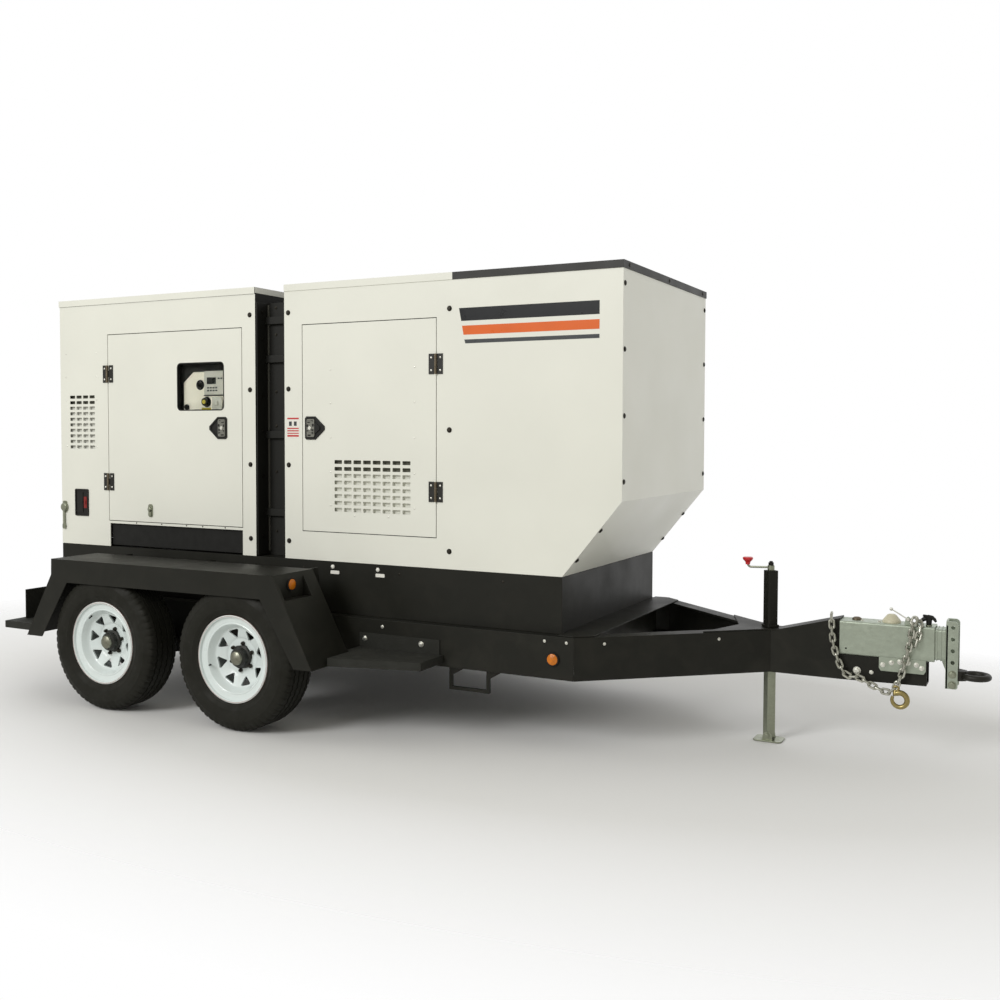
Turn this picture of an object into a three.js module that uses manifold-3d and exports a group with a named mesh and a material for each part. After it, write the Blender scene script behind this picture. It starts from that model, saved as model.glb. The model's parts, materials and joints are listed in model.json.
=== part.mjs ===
// Towable diesel generator on a tandem-axle trailer.
// Millimetres, +Z up, +X towards the towing ring, -Y is the kerb side with the control door.
// Lengths along X are counted from the rear face of the enclosure; the exported group is then moved
// so that the origin lies on the ground under the middle of the whole trailer.
import * as THREE from "three";
import { mergeVertices } from "three/addons/utils/BufferGeometryUtils.js";
import Module from "manifold-3d";

const wasm = await Module();
wasm.setup();

// ---------- driving dimensions ----------
const gap = 0.4; // clearance between pieces that touch

// enclosure: a rear module for the controls and a front module for the engine
const bodyHalfWidth = 605;
const rearModuleEnd = 1425;
const frontModuleStart = 1613;
const frontModuleEnd = 3437;
const panelBottom = 778;
const roofBottom = 2130;
const roofTop = 2164;
const roofOverhang = 4;
const skin = 4; // sheet thickness of the housings
const creaseHeight = 1123; // the front face slants back below this height
const gapTunnelHalfWidth = 511;
const grilleStart = 2594;

// base tank and chassis
const tankEnd = 3157;
const railTop = 520;
const railBottom = 328;
const railFace = 661; // outer face of the rails, from the middle
const railFlange = 75;
const webThickness = 8;
const flangeThickness = 10;
const bendX = 3240; // where the straight rails turn into the tongue
const apexX = 3956; // where the tongue meets the drawbar's side
const drawbarHalfWidth = 50;

// wheels and torsion axles
const tyreRadius = 345;
const tyreWidth = 206;
const wheelPlane = 971; // middle of the tyre, from the middle of the trailer
const rearAxleX = 803;
const frontAxleX = 1656;
const armLength = 140; // the pivot lies this far ahead of the spindle
const pivotHeight = 284;
const spindleRadius = 20;

// fenders and steps
const fenderOuter = 1085;
const fenderInner = 780;
const fenderSheet = 5;
const stepTop = 383;
const stepDepth = 38;
const rearStepEdge = -17;

// jack
const jackX = 3941;
const jackTubeSize = 50;
const jackLegSize = 42;
const jackTop = 789;
const crankArm = 108;

// surge actuator and towing ring
const caseStart = 4262;
const caseEnd = 4655;
const caseBottom = 442;
const caseTop = 592;
const caseHalfWidth = 60;
const channelStart = 4699;
const channelEnd = 4748;
const ringCentreX = 4816;
const ringHeight = 387;
const ringOuter = 64;
const ringSection = 14; // radius of the ring's round section

// doors: start and end along X, foot and head height
const controlDoor = { start: 378, end: 1334, foot: 925, head: 1958 };
const engineDoor = { start: 1727, end: 2504, foot: 925, head: 1956 };
const doorGap = 4;
const doorDepth = 30;
const hingeHeights = [1140, 1742];
const hingeAxisOffset = 7; // hinge axis outside the door skin
const latchHeight = 1441;

// ---------- colours ----------
const paint = {
  ivory: [0xe9e9dc, 0.45, 0.0],
  black: [0x2e2f2b, 0.5, 0.1],
  deepBlack: [0x1b1c1a, 0.6, 0.1],
  zinc: [0xb4bdb4, 0.4, 0.8],
  steel: [0x8d9190, 0.4, 0.8],
  rubber: [0x23231f, 0.85, 0.0],
  rimWhite: [0xe8eef4, 0.35, 0.0],
  red: [0xd8232a, 0.4, 0.0],
  panelCream: [0xdcdccb, 0.5, 0.0],
  engineGrey: [0x6d7070, 0.6, 0.3],
  forged: [0x2a2a26, 0.6, 0.5],
};

// ---------- shape helpers ----------
function solidOf(geometry) {
  const bare = geometry.clone();
  bare.deleteAttribute("normal");
  bare.deleteAttribute("uv");
  const merged = mergeVertices(bare, 1e-3);
  const mesh = new wasm.Mesh({
    numProp: 3,
    vertProperties: merged.attributes.position.array,
    triVerts: new Uint32Array(merged.index.array),
  });
  return new wasm.Manifold(mesh);
}

function geometryOf(solid) {
  const mesh = solid.getMesh();
  const geometry = new THREE.BufferGeometry();
  const positions = new THREE.BufferAttribute(new Float32Array(mesh.vertProperties), 3);
  geometry.setAttribute("position", positions);
  geometry.setIndex(new THREE.BufferAttribute(new Uint32Array(mesh.triVerts), 1));
  geometry.computeVertexNormals();
  return geometry;
}

function join(pieces) {
  return geometryOf(pieces.map(solidOf).reduce((whole, piece) => whole.add(piece)));
}

function cut(base, tools) {
  return geometryOf(tools.map(solidOf).reduce((whole, tool) => whole.subtract(tool), solidOf(base)));
}

// A box between two corners.
function block(x0, x1, y0, y1, z0, z1) {
  const box = new THREE.BoxGeometry(Math.abs(x1 - x0), Math.abs(y1 - y0), Math.abs(z1 - z0));
  return box.translate((x0 + x1) / 2, (y0 + y1) / 2, (z0 + z1) / 2);
}

function outline(points) {
  return new THREE.Shape(points.map(([a, b]) => new THREE.Vector2(a, b)));
}

// A plan outline (x, y) raised from z0 to z1.
function plan(points, z0, z1) {
  const raised = new THREE.ExtrudeGeometry(outline(points), { depth: z1 - z0, bevelEnabled: false });
  return raised.translate(0, 0, z0);
}

// A side outline (x, z) with its thickness from y0 to y1.
function profile(points, y0, y1) {
  const thick = new THREE.ExtrudeGeometry(outline(points), { depth: y1 - y0, bevelEnabled: false });
  return thick.rotateX(Math.PI / 2).translate(0, y1, 0);
}

// An end outline (y, z) with its thickness from x0 to x1.
function section(points, x0, x1) {
  const thick = new THREE.ExtrudeGeometry(outline(points), { depth: x1 - x0, bevelEnabled: false });
  return thick.rotateX(Math.PI / 2).rotateZ(Math.PI / 2).translate(x0, 0, 0);
}

// A round bar of a radius along x, y or z, between two values on that axis.
function rod(axis, radius, from, to, a, b, sides = 16) {
  const bar = new THREE.CylinderGeometry(radius, radius, to - from, sides);
  const middle = (from + to) / 2;
  if (axis === "x") return bar.rotateZ(Math.PI / 2).translate(middle, a, b);
  if (axis === "y") return bar.translate(a, middle, b);
  return bar.rotateX(Math.PI / 2).translate(a, b, middle);
}

// A closed profile of (radius, y) points turned about the Y axis, with a flat side facing down.
function turned(points, sides) {
  const corners = points.map(([r, y]) => new THREE.Vector2(r, y));
  return new THREE.LatheGeometry(corners, sides, Math.PI / sides);
}

// A round bar bent along a list of points.
function bentBar(points, radius, steps, sides = 8) {
  const path = new THREE.CatmullRomCurve3(points.map((p) => new THREE.Vector3(...p)), false, "centripetal");
  const round = new THREE.Shape();
  for (let i = 0; i < sides; i += 1) {
    const angle = (i / sides) * 2 * Math.PI;
    const corner = [radius * Math.cos(angle), radius * Math.sin(angle)];
    if (i === 0) round.moveTo(...corner);
    else round.lineTo(...corner);
  }
  return new THREE.ExtrudeGeometry(round, { steps, extrudePath: path, bevelEnabled: false });
}

const generator = new THREE.Group();

function addPiece(name, geometry, [color, roughness, metalness], parent = generator) {
  const material = new THREE.MeshStandardMaterial({ color, roughness, metalness });
  const mesh = new THREE.Mesh(geometry, material);
  mesh.name = name;
  parent.add(mesh);
  return mesh;
}

const sides = [
  { name: "right", y: -1 },
  { name: "left", y: 1 },
];

// ---------- chassis ----------
// The tongue leaves the straight rails at the bend and runs in to the drawbar's side.
const tongueAngle = Math.atan2(railFace - drawbarHalfWidth, apexX - bendX);
const along = { x: Math.cos(tongueAngle), y: Math.sin(tongueAngle) };
const inward = { x: -Math.sin(tongueAngle), y: Math.cos(tongueAngle) };

// Plan point of the mitre at the bend, a distance in from the rail's outer face.
function mitre(distance) {
  const travel = (distance * (1 - inward.y)) / along.y;
  return [bendX + inward.x * distance + along.x * travel, railFace - distance];
}

// Plan point where the tongue's line, a distance in from its face, meets the drawbar's side.
function tongueEnd(distance) {
  const end = drawbarHalfWidth + gap;
  const travel = (railFace - end - inward.y * distance) / along.y;
  return [bendX + inward.x * distance + along.x * travel, end];
}

function tongueStrip(side, from, to, z0, z1) {
  const corners = [mitre(from), tongueEnd(from), tongueEnd(to), mitre(to)];
  return plan(corners.map(([x, y]) => [x, side.y * y]), z0, z1);
}

function tongueRail(side) {
  return join([
    tongueStrip(side, 0, webThickness, railBottom, railTop),
    tongueStrip(side, 0, railFlange, railTop - flangeThickness, railTop),
    tongueStrip(side, 0, railFlange, railBottom, railBottom + flangeThickness),
  ]);
}

function railStrip(side, from, to, z0, z1) {
  const corners = [[0, railFace - from], mitre(from), mitre(to), [0, railFace - to]];
  const shortened = corners.map(([x, y]) => [Math.max(0, x - gap), side.y * y]);
  return plan(shortened, z0, z1);
}

// Loop of bar under the rail, held by two small gussets.
const stirrup = { start: 2600, end: 2812, bottom: 222, bar: 16, gusset: 75 };

function stirrupPieces(side) {
  const middle = side.y * (railFace - 24);
  const half = stirrup.bar / 2;
  const low = middle - half;
  const high = middle + half;
  const foot = stirrup.bottom;
  const top = railBottom + 2;
  const gussetFoot = railBottom - 42;
  return [
    block(stirrup.start, stirrup.end, low, high, foot, foot + stirrup.bar),
    block(stirrup.start, stirrup.start + stirrup.bar, low, high, foot, top),
    block(stirrup.end - stirrup.bar, stirrup.end, low, high, foot, top),
    profile([[stirrup.start + 8, gussetFoot], [stirrup.start + 8, top],
      [stirrup.start + 8 + stirrup.gusset, top]], low, high),
    profile([[stirrup.end - 8, gussetFoot], [stirrup.end - 8, top],
      [stirrup.end - 8 + stirrup.gusset, top]], low, high),
  ];
}

function frameRail(side) {
  return join([
    railStrip(side, 0, webThickness, railBottom, railTop),
    railStrip(side, 0, railFlange, railTop - flangeThickness, railTop),
    railStrip(side, 0, railFlange, railBottom, railBottom + flangeThickness),
    ...stirrupPieces(side),
  ]);
}

// Cover plate and cross channel that tie the rails together ahead of the tank.
function frontDeck() {
  const half = railFace - webThickness - gap;
  const deckFront = 3308;
  const reach = (x) => Math.min(half, railFace - webThickness * 1.4 - ((x - bendX) * along.y) / along.x);
  const plate = plan([[tankEnd + gap, -half], [bendX - 6, -half], [deckFront, -reach(deckFront)],
    [deckFront, reach(deckFront)], [bendX - 6, half], [tankEnd + gap, half]],
  railTop + gap, railTop + gap + 6);
  const inner = railFace - railFlange - gap;
  const web = block(tankEnd + 20, tankEnd + 28, -inner, inner, railBottom + 30, railTop + gap + 2);
  return join([plate, web]);
}

// Box drawbar: deep at the tongue, tapering up, then a low nose under the surge actuator.
function drawbar() {
  const start = 3846;
  const noseTop = caseBottom - gap;
  const side = [[start, railBottom], [3960, railBottom], [4262, 328], [4625, 334], [4625, noseTop],
    [caseStart - gap, noseTop], [caseStart - gap, 600], [3960, railTop], [start, railTop]];
  const wall = 8;
  const hollow = [[start - 5, railBottom + wall], [3960, railBottom + wall], [4262, 328 + wall],
    [4630, 334 + wall], [4630, noseTop - wall], [caseStart - gap - wall, noseTop - wall],
    [caseStart - gap - wall, 600 - wall - 3], [3960, railTop - wall], [start - 5, railTop - wall]];
  const tube = profile(side, -drawbarHalfWidth, drawbarHalfWidth);
  const core = profile(hollow, -drawbarHalfWidth + wall, drawbarHalfWidth - wall);
  const gussetBack = 3700;
  const edge = (x) => railFace - 8 - ((x - bendX) * along.y) / along.x;
  const gusset = plan([[gussetBack, -edge(gussetBack)], [3940, -edge(3940)], [3990, -drawbarHalfWidth],
    [3990, drawbarHalfWidth], [3940, edge(3940)], [gussetBack, edge(gussetBack)],
    [gussetBack + 95, 0]], railTop + gap, railTop + gap + 6);
  const bridge = block(start + 10, 3955, -drawbarHalfWidth, drawbarHalfWidth, railTop - 4, railTop + gap + 2);
  const opening = jackTubeSize + 2 * gap;
  const jackHole = new THREE.BoxGeometry(opening, opening, 400);
  jackHole.rotateZ(Math.PI / 4).translate(jackX, 0, 430);
  return cut(join([cut(tube, [core]), gusset, bridge]), [jackHole]);
}

// Fuel tank that is also the skid of the generator set, with an open filler in its top.
function baseTank() {
  const wall = 5;
  const low = railTop + gap;
  const high = panelBottom - gap;
  const shell = block(0, tankEnd, -bodyHalfWidth, bodyHalfWidth, low, high);
  const inside = bodyHalfWidth - wall;
  const room = block(wall, tankEnd - wall, -inside, inside, low + wall, high - wall);
  const filler = rod("z", 32, high - 20, high + 20, 250, 380);
  return cut(shell, [room, filler]);
}

// ---------- steps ----------
function frontStep(side) {
  const back = railFace + gap;
  const plate = plan([[2110, back], [2578, back], [2578, 862], [2143, 974], [2143, 776], [2110, 776]]
    .map(([x, y]) => [x, side.y * y]), stepTop - stepDepth, stepTop);
  const hollow = plan([[2116, back + 8], [2572, back + 8], [2572, 857], [2149, 966], [2149, 770], [2116, 770]]
    .map(([x, y]) => [x, side.y * y]), stepTop - stepDepth - 5, stepTop - 6);
  const flange = block(2112, 2560, side.y * back, side.y * (back + 6), stepTop - 4, 452);
  return join([cut(plate, [hollow]), flange]);
}

function rearStep(side) {
  const back = railFace + gap;
  const outer = 985;
  const plate = plan([[rearStepEdge, back], [rearStepEdge, outer], [250, outer], [250, back]]
    .map(([x, y]) => [x, side.y * y]), stepTop - stepDepth, stepTop);
  const hollow = plan([[rearStepEdge + 6, back + 8], [rearStepEdge + 6, outer - 6], [244, outer - 6],
    [244, back + 8]].map(([x, y]) => [x, side.y * y]), stepTop - stepDepth - 5, stepTop - 6);
  const flange = block(10, 240, side.y * back, side.y * (back + 6), stepTop - 4, 452);
  const lampPlate = block(30, 36, side.y * 700, side.y * 890, stepTop - 4, 545);
  return join([cut(plate, [hollow]), flange, lampPlate]);
}

// ---------- fenders ----------
const fenderTopPath = [[281, 346], [467, 678], [469, 760], [1916, 760], [2139, 342]];
const pocket = { plate: 1926, shelf: 645, inner: 868, outer: 1068 };

// Outer skirt: a trapezoid arch that follows the fender's top with a straight inner edge.
function fenderSkirt(side) {
  const arch = [[281, 346], [392, 347], [581, 642], [1844, 647], [2036, 340], [2139, 342],
    [1916, 760], [469, 760], [467, 678]];
  const [low, high] = [fenderOuter - fenderSheet, fenderOuter].map((y) => side.y * y).sort((a, b) => a - b);
  return profile(arch, low, high);
}

function fenderTop(side) {
  const sheet = fenderSheet;
  const under = [[2133, 342], [1912, 760 - sheet], [474, 760 - sheet], [472, 678], [287, 346]];
  const [low, high] = [fenderInner, fenderOuter - 1].map((y) => side.y * y).sort((a, b) => a - b);
  return profile([...fenderTopPath, ...under], low, high);
}

// Brackets from the rail's outer face up to the underside of the fender's top.
function fenderBracket(side, x) {
  const corners = [[railFace + gap, 430], [fenderInner + 10, 690], [fenderInner + 50, 757],
    [fenderInner - 80, 757], [railFace + gap, 515]];
  return section(corners.map(([y, z]) => [side.y * y, z]), x, x + 8);
}

function fender(side) {
  const brackets = [640, 1226, 1880].map((x) => fenderBracket(side, x));
  const whole = join([fenderSkirt(side), fenderTop(side), ...brackets]);
  const span = [pocket.inner, pocket.outer].map((y) => side.y * y).sort((a, b) => a - b);
  const slope = (z) => 1916 + ((760 - z) * (2139 - 1916)) / (760 - 342);
  const notch = profile([[pocket.plate, 750], [pocket.plate, pocket.shelf],
    [slope(pocket.shelf) + 30, pocket.shelf], [slope(750) + 30, 750]], ...span);
  const wide = [pocket.inner - 4, pocket.outer + 4].map((y) => side.y * y).sort((a, b) => a - b);
  const pan = profile([[pocket.plate - 4, 745], [pocket.plate - 4, pocket.shelf - 4],
    [slope(pocket.shelf - 4) - 1, pocket.shelf - 4], [slope(745) - 1, 745]], ...wide);
  return cut(join([whole, pan]), [notch]);
}

// ---------- torsion axles and wheels ----------
function axleTube(axleX) {
  const x = axleX + armLength;
  const half = 38;
  const reach = railFace + 8;
  const tube = block(x - half, x + half, -reach, reach, pivotHeight - half, pivotHeight + half);
  const seats = [-1, 1].map((y) => block(x - 70, x + 70, y * (railFace - 70), y * (railFace - 5),
    pivotHeight + half - 1, railBottom - gap));
  const bores = [[reach - 90, reach + 5], [-reach - 5, 90 - reach]].map(([low, high]) =>
    rod("y", 26, low, high, x, pivotHeight));
  const lightening = block(x - half + 8, x + half - 8, -400, 400,
    pivotHeight - half + 8, pivotHeight + half - 8);
  const drain = rod("z", 10, pivotHeight - half - 5, pivotHeight, x, 0);
  return cut(join([tube, ...seats]), [...bores, lightening, drain]);
}

// Trailing arm in its own frame: the pivot at the origin, the spindle behind and outboard (-Y).
function torsionArm() {
  const spindleRise = tyreRadius - pivotHeight;
  const inner = -(railFace + 14);
  const outer = inner - 24;
  const bar = rod("y", 22, inner - 1, -(railFace - 78), 0, 0, 12);
  const eyeFront = rod("y", 36, outer, inner, 0, 0, 12);
  const eyeRear = rod("y", 34, outer, inner, -armLength, spindleRise, 12);
  const reach = Math.hypot(armLength, spindleRise);
  const web = new THREE.BoxGeometry(reach, inner - outer, 56);
  web.rotateY(Math.atan2(spindleRise, armLength));
  web.translate(-armLength / 2, (inner + outer) / 2, spindleRise / 2);
  const spindle = rod("y", spindleRadius, -1006, outer + 1, -armLength, spindleRise, 12);
  return join([bar, eyeFront, eyeRear, web, spindle]);
}

// Wheel pieces in their own frame: turned about Y, outboard is -Y, the tyre's middle at the origin.
// The tyre stands on one flat side, like a loaded tyre on its contact patch.
const wheelSides = 20;

function tyre() {
  const half = tyreWidth / 2;
  const crown = tyreRadius / Math.cos(Math.PI / wheelSides);
  const lower = [[196, -77], [212, -80], [262, -half], [328, -90], [crown, -64]];
  const upper = lower.map(([r, y]) => [r, -y]).reverse();
  return turned([...lower, ...upper, lower[0]], wheelSides);
}

function rim() {
  const lower = [[188, -84], [208, -86], [193, -77], [193, -56], [176, -42]];
  const upper = lower.map(([r, y]) => [r, -y]).reverse();
  const inside = [[170, 48], [170, -48]];
  const disc = new THREE.Shape();
  disc.absarc(0, 0, 173, 0, 2 * Math.PI);
  const hubHole = new THREE.Path();
  hubHole.absarc(0, 0, 56, 0, 2 * Math.PI, true);
  disc.holes.push(hubHole);
  for (let i = 0; i < 8; i += 1) {
    const middle = (i / 8) * 2 * Math.PI;
    const at = (radius, turn) => [radius * Math.cos(middle + turn), radius * Math.sin(middle + turn)];
    const window = new THREE.Path();
    window.moveTo(...at(94, 0));
    window.lineTo(...at(140, 0.24));
    window.lineTo(...at(140, -0.24));
    window.closePath();
    disc.holes.push(window);
  }
  const web = new THREE.ExtrudeGeometry(disc, { depth: 8, bevelEnabled: false, curveSegments: 6 });
  web.rotateX(Math.PI / 2).translate(0, -28, 0);
  return join([turned([...lower, ...upper, ...inside, lower[0]], wheelSides), web]);
}

// Brake drum, hub and dust cap, bored for the spindle.
function hub() {
  const shape = [[0, -78], [24, -76], [34, -68], [34, -38], [53, -38], [53, -26], [86, -26], [86, 62],
    [158, 98], [158, 178], [148, 178], [148, 108], [80, 70], [23, 70], [23, -36.5], [0, -36.5]];
  return turned(shape, 12);
}

function addWheelSet(side, end, axleX) {
  const label = `${end}_${side.name}`;
  const corner = new THREE.Group();
  corner.rotation.z = side.y < 0 ? 0 : Math.PI;
  const forward = side.y < 0 ? 1 : -1;
  const armShape = torsionArm();
  if (side.y > 0) mirrorAlongX(armShape);
  const arm = addPiece(`torsion_arm_${label}`, armShape, paint.black, corner);
  arm.position.set(forward * armLength, 0, pivotHeight);
  const wheel = new THREE.Group();
  wheel.position.set(0, -wheelPlane, tyreRadius);
  addPiece(`tyre_${label}`, tyre(), paint.rubber, wheel);
  addPiece(`rim_${label}`, rim(), paint.rimWhite, wheel);
  addPiece(`hub_${label}`, hub(), paint.forged, wheel);
  corner.add(wheel);
  corner.position.set(axleX, 0, 0);
  generator.add(corner);
}

// Mirrors a shape along X and turns its faces back the right way.
function mirrorAlongX(geometry) {
  geometry.scale(-1, 1, 1);
  const order = geometry.index.array;
  for (let i = 0; i < order.length; i += 3) {
    const swapped = order[i + 1];
    order[i + 1] = order[i + 2];
    order[i + 2] = swapped;
  }
}

// ---------- housings ----------
function grownDoor(door, y0, y1) {
  return block(door.start - doorGap, door.end + doorGap, y0, y1, door.foot - doorGap, door.head + doorGap);
}

// Fixed half of a door's hinges: a leaf on the skin and two knuckles of each hinge.
function fixedHinges(side, pivotX, towards) {
  const surface = bodyHalfWidth - 1;
  const axis = bodyHalfWidth + hingeAxisOffset;
  return hingeHeights.flatMap((z) => {
    const leaf = block(pivotX + towards * 8, pivotX + towards * 36, side.y * surface, side.y * (axis - 3.4),
      z - 48, z + 48);
    const webs = [-1, 1].map((end) => block(pivotX, pivotX + towards * 30,
      side.y * (axis - 6), side.y * (axis - 3), z + end * 33 - 14, z + end * 33 + 14));
    const knuckles = [-1, 1].map((end) => rod("z", 6.5, z + end * 33 - 14, z + end * 33 + 14,
      pivotX, side.y * axis, 8));
    return [leaf, ...webs, ...knuckles];
  });
}

// Door half of the hinges: a leaf on the door and the middle knuckle.
function movingHinges(side, pivotX, towards) {
  const surface = bodyHalfWidth - 1;
  const axis = bodyHalfWidth + hingeAxisOffset;
  return hingeHeights.flatMap((z) => [
    block(pivotX - towards * 12, pivotX - towards * 40, side.y * surface, side.y * (axis - 3.4),
      z - 48, z + 48),
    block(pivotX, pivotX - towards * 30, side.y * (axis - 6), side.y * (axis - 3), z - 17, z + 17),
    rod("z", 6.5, z - 17, z + 17, pivotX, side.y * axis, 8),
  ]);
}

// Hinge lines: the control door hangs at its rear edge, the engine door at its front edge.
const controlPivotX = controlDoor.start - doorGap / 2;
const enginePivotX = engineDoor.end + doorGap / 2;

function rearHousing() {
  const low = panelBottom + gap;
  const shell = join([
    block(0, rearModuleEnd, -bodyHalfWidth, bodyHalfWidth, low, roofBottom + 5),
    block(-roofOverhang, rearModuleEnd, -bodyHalfWidth - roofOverhang, bodyHalfWidth + roofOverhang,
      roofBottom, roofTop),
    ...sides.flatMap((side) => fixedHinges(side, controlPivotX, -1)),
  ]);
  const inner = bodyHalfWidth - skin;
  const reach = bodyHalfWidth + 3;
  return cut(shell, [
    block(skin, rearModuleEnd - skin, -inner, inner, low - 5, roofTop - skin),
    grownDoor(controlDoor, -reach, -inner + 2),
    grownDoor(controlDoor, inner - 2, reach),
    block(383, 1336, -reach, -inner + 2, low - 5, 908),
    block(rearModuleEnd - skin - 2, rearModuleEnd + 5, -420, 420, low - 5, 1700),
    ...[0, 1, 2, 3, 4, 5, 6, 7].map((row) => block(-10, skin + 2, -380, 380,
      1080 + row * 110, 1120 + row * 110)),
  ]);
}

// The front module's end outline, seen from the side.
function frontOutline(inset) {
  return [[frontModuleStart + inset, panelBottom + gap - (inset ? 5 : 0)], [tankEnd - 0.5 - inset * 1.2,
    panelBottom + gap - (inset ? 5 : 0)], [frontModuleEnd - inset, creaseHeight + inset * 0.4],
  [frontModuleEnd - inset, roofBottom + 5], [frontModuleStart + inset, roofBottom + 5]];
}

function frontHousing() {
  const low = panelBottom + gap;
  const inner = bodyHalfWidth - skin;
  const reach = bodyHalfWidth + 3;
  const tunnel = gapTunnelHalfWidth;
  const tunnelTop = roofBottom - 40;
  const shell = join([
    profile(frontOutline(0), -bodyHalfWidth, bodyHalfWidth),
    block(frontModuleStart, grilleStart - gap, -bodyHalfWidth - roofOverhang, bodyHalfWidth + roofOverhang,
      roofBottom, roofTop),
    block(rearModuleEnd + gap, frontModuleStart + 2, -tunnel, tunnel, low, tunnelTop),
    ...sides.flatMap((side) => fixedHinges(side, enginePivotX, 1)),
  ]);
  return cut(shell, [
    profile(frontOutline(skin), -inner, inner),
    block(frontModuleStart + skin, grilleStart - gap - skin, -inner, inner, roofBottom - 5, roofTop - skin),
    block(grilleStart - gap, frontModuleEnd + 10, -reach - 10, reach + 10, roofBottom, roofTop + 5),
    block(rearModuleEnd - 5, frontModuleStart + 10, -tunnel + skin, tunnel - skin, low - 5, tunnelTop - skin),
    grownDoor(engineDoor, -reach, -inner + 2),
    grownDoor(engineDoor, inner - 2, reach),
  ]);
}

// Louvred cover over the radiator's air outlet, on the front of the roof.
function roofGrille() {
  const half = bodyHalfWidth + roofOverhang;
  const end = frontModuleEnd + roofOverhang;
  const rim = 34;
  const low = roofBottom + gap;
  const frame = cut(block(grilleStart, end, -half, half, low, roofTop),
    [block(grilleStart + rim, end - rim, -half + rim, half - rim, low - 5, roofTop + 5)]);
  const slats = [];
  for (let x = grilleStart + rim + 30; x < end - rim - 10; x += 62) {
    slats.push(profile([[x, low + 4], [x + 4, low + 4], [x + 26, roofTop - 4], [x + 22, roofTop - 4]],
      -half + rim - 2, half - rim + 2));
  }
  return join([frame, ...slats]);
}

// ---------- doors and latches ----------
// A folded pan: the skin outside, a flange all round inside. It is open at the back.
function doorPan(side, door) {
  const sheet = 3;
  const [low, high] = [bodyHalfWidth - doorDepth, bodyHalfWidth].map((y) => side.y * y).sort((a, b) => a - b);
  const hollow = [bodyHalfWidth - doorDepth - 5, bodyHalfWidth - sheet].map((y) => side.y * y)
    .sort((a, b) => a - b);
  return cut(block(door.start, door.end, low, high, door.foot, door.head),
    [block(door.start + sheet, door.end - sheet, ...hollow, door.foot + sheet, door.head - sheet)]);
}

const windowHole = { start: 892, end: 1213, foot: 1536, head: 1786 };

function roundedWindow(side) {
  const corner = 22;
  const { start, end, foot, head } = windowHole;
  const corners = [[start, foot + corner], [start + corner, foot], [end - corner, foot], [end, foot + corner],
    [end, head - corner], [end - corner, head], [start + corner, head], [start, head - corner]];
  const [low, high] = [bodyHalfWidth - doorDepth, bodyHalfWidth + 5].map((y) => side.y * y)
    .sort((a, b) => a - b);
  return profile(corners, low, high);
}

function door(side, shape, pivotX, towards, holes) {
  return cut(join([doorPan(side, shape), ...movingHinges(side, pivotX, towards)]), holes);
}

// Paddle latch: a pentagon-shaped handle that lifts about a vertical pin at its wide end.
const latchSize = { half: 40, nose: 77, height: 56, noseHeight: 30, foot: 0.6, proud: 12 };

function latch(side, x, towards) {
  const { half, nose, height, noseHeight, foot, proud } = latchSize;
  const pentagon = [[x - towards * half, latchHeight - height], [x + towards * half, latchHeight - height],
    [x + towards * nose, latchHeight - noseHeight], [x + towards * nose, latchHeight + noseHeight],
    [x + towards * half, latchHeight + height], [x - towards * half, latchHeight + height]];
  const faces = [bodyHalfWidth + foot, bodyHalfWidth + proud].map((y) => side.y * y).sort((a, b) => a - b);
  return profile(pentagon, ...faces);
}

// ---------- controls ----------
// Cabinet behind the control door, open at its back, standing on two legs.
const cabinet = { start: 700, end: 1290, foot: 960, head: 1880, face: 566, depth: 240 };

function controlPanel() {
  const { start, end, foot, head, face, depth } = cabinet;
  const wall = 3;
  const box = cut(block(start, end, -face, -face + depth, foot, head),
    [block(start + wall, end - wall, -face + wall + 5, -face + depth + 5, foot + wall, head - wall)]);
  const legs = [start, end - 40].map((x) => block(x, x + 40, -face + depth - 40, -face + depth,
    panelBottom + gap, foot + 10));
  const [keyHole, stopHole] = [[keyPlace, 10.5], [stopPlace, 9]].map(([at, radius]) =>
    rod("y", radius, -face - 5, -face + 60, at.x, at.z));
  return cut(join([box, ...legs]), [keyHole, stopHole]);
}

const keyPlace = { x: 1018, z: 1671 };
const stopPlace = { x: 1064, z: 1580 };

function keySwitch() {
  const face = -cabinet.face;
  const barrel = rod("y", 9.5, face - 6, face + 30, keyPlace.x, keyPlace.z, 20);
  const bow = block(keyPlace.x - 2.5, keyPlace.x + 2.5, face - 24, face - 5,
    keyPlace.z - 11, keyPlace.z + 11);
  return join([barrel, rod("y", 16, face - 7, face - gap, keyPlace.x, keyPlace.z, 20), bow]);
}

function emergencyStop() {
  const face = -cabinet.face;
  return join([
    rod("y", 7.5, face - 12, face + 40, stopPlace.x, stopPlace.z, 16),
    rod("y", 20, face - 26, face - 11, stopPlace.x, stopPlace.z, 24),
  ]);
}

// ---------- power unit ----------
const shaftHeight = 1230;
const engineStart = 1720;
const engineEnd = 2480;

// Crankcase, head and sump as one hollow casting on four feet, open at the sump's plug.
function engineBlock() {
  const deck = panelBottom + gap;
  const lower = block(engineStart, engineEnd, -210, 210, 940, 1380);
  const head = block(engineStart + 60, engineEnd - 60, -150, 150, 1379, 1600);
  const sump = block(engineStart + 80, engineEnd - 80, -160, 160, 860, 941);
  const feet = [engineStart + 60, engineEnd - 160].flatMap((x) => [-250, 150].map((y) =>
    block(x, x + 100, y, y + 100, deck, 1010)));
  const stub = rod("x", 40, engineEnd - 1, engineEnd + 14, 0, shaftHeight, 20);
  const rooms = [
    block(engineStart + 22, engineEnd - 22, -188, 188, 962, 1358),
    block(engineStart + 82, engineEnd - 82, -128, 128, 1350, 1578),
    block(engineStart + 102, engineEnd - 102, -138, 138, 880, 970),
    rod("z", 20, 850, 890, engineStart + 200, 0),
  ];
  return cut(join([lower, head, sump, ...feet, stub]), rooms);
}

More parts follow.
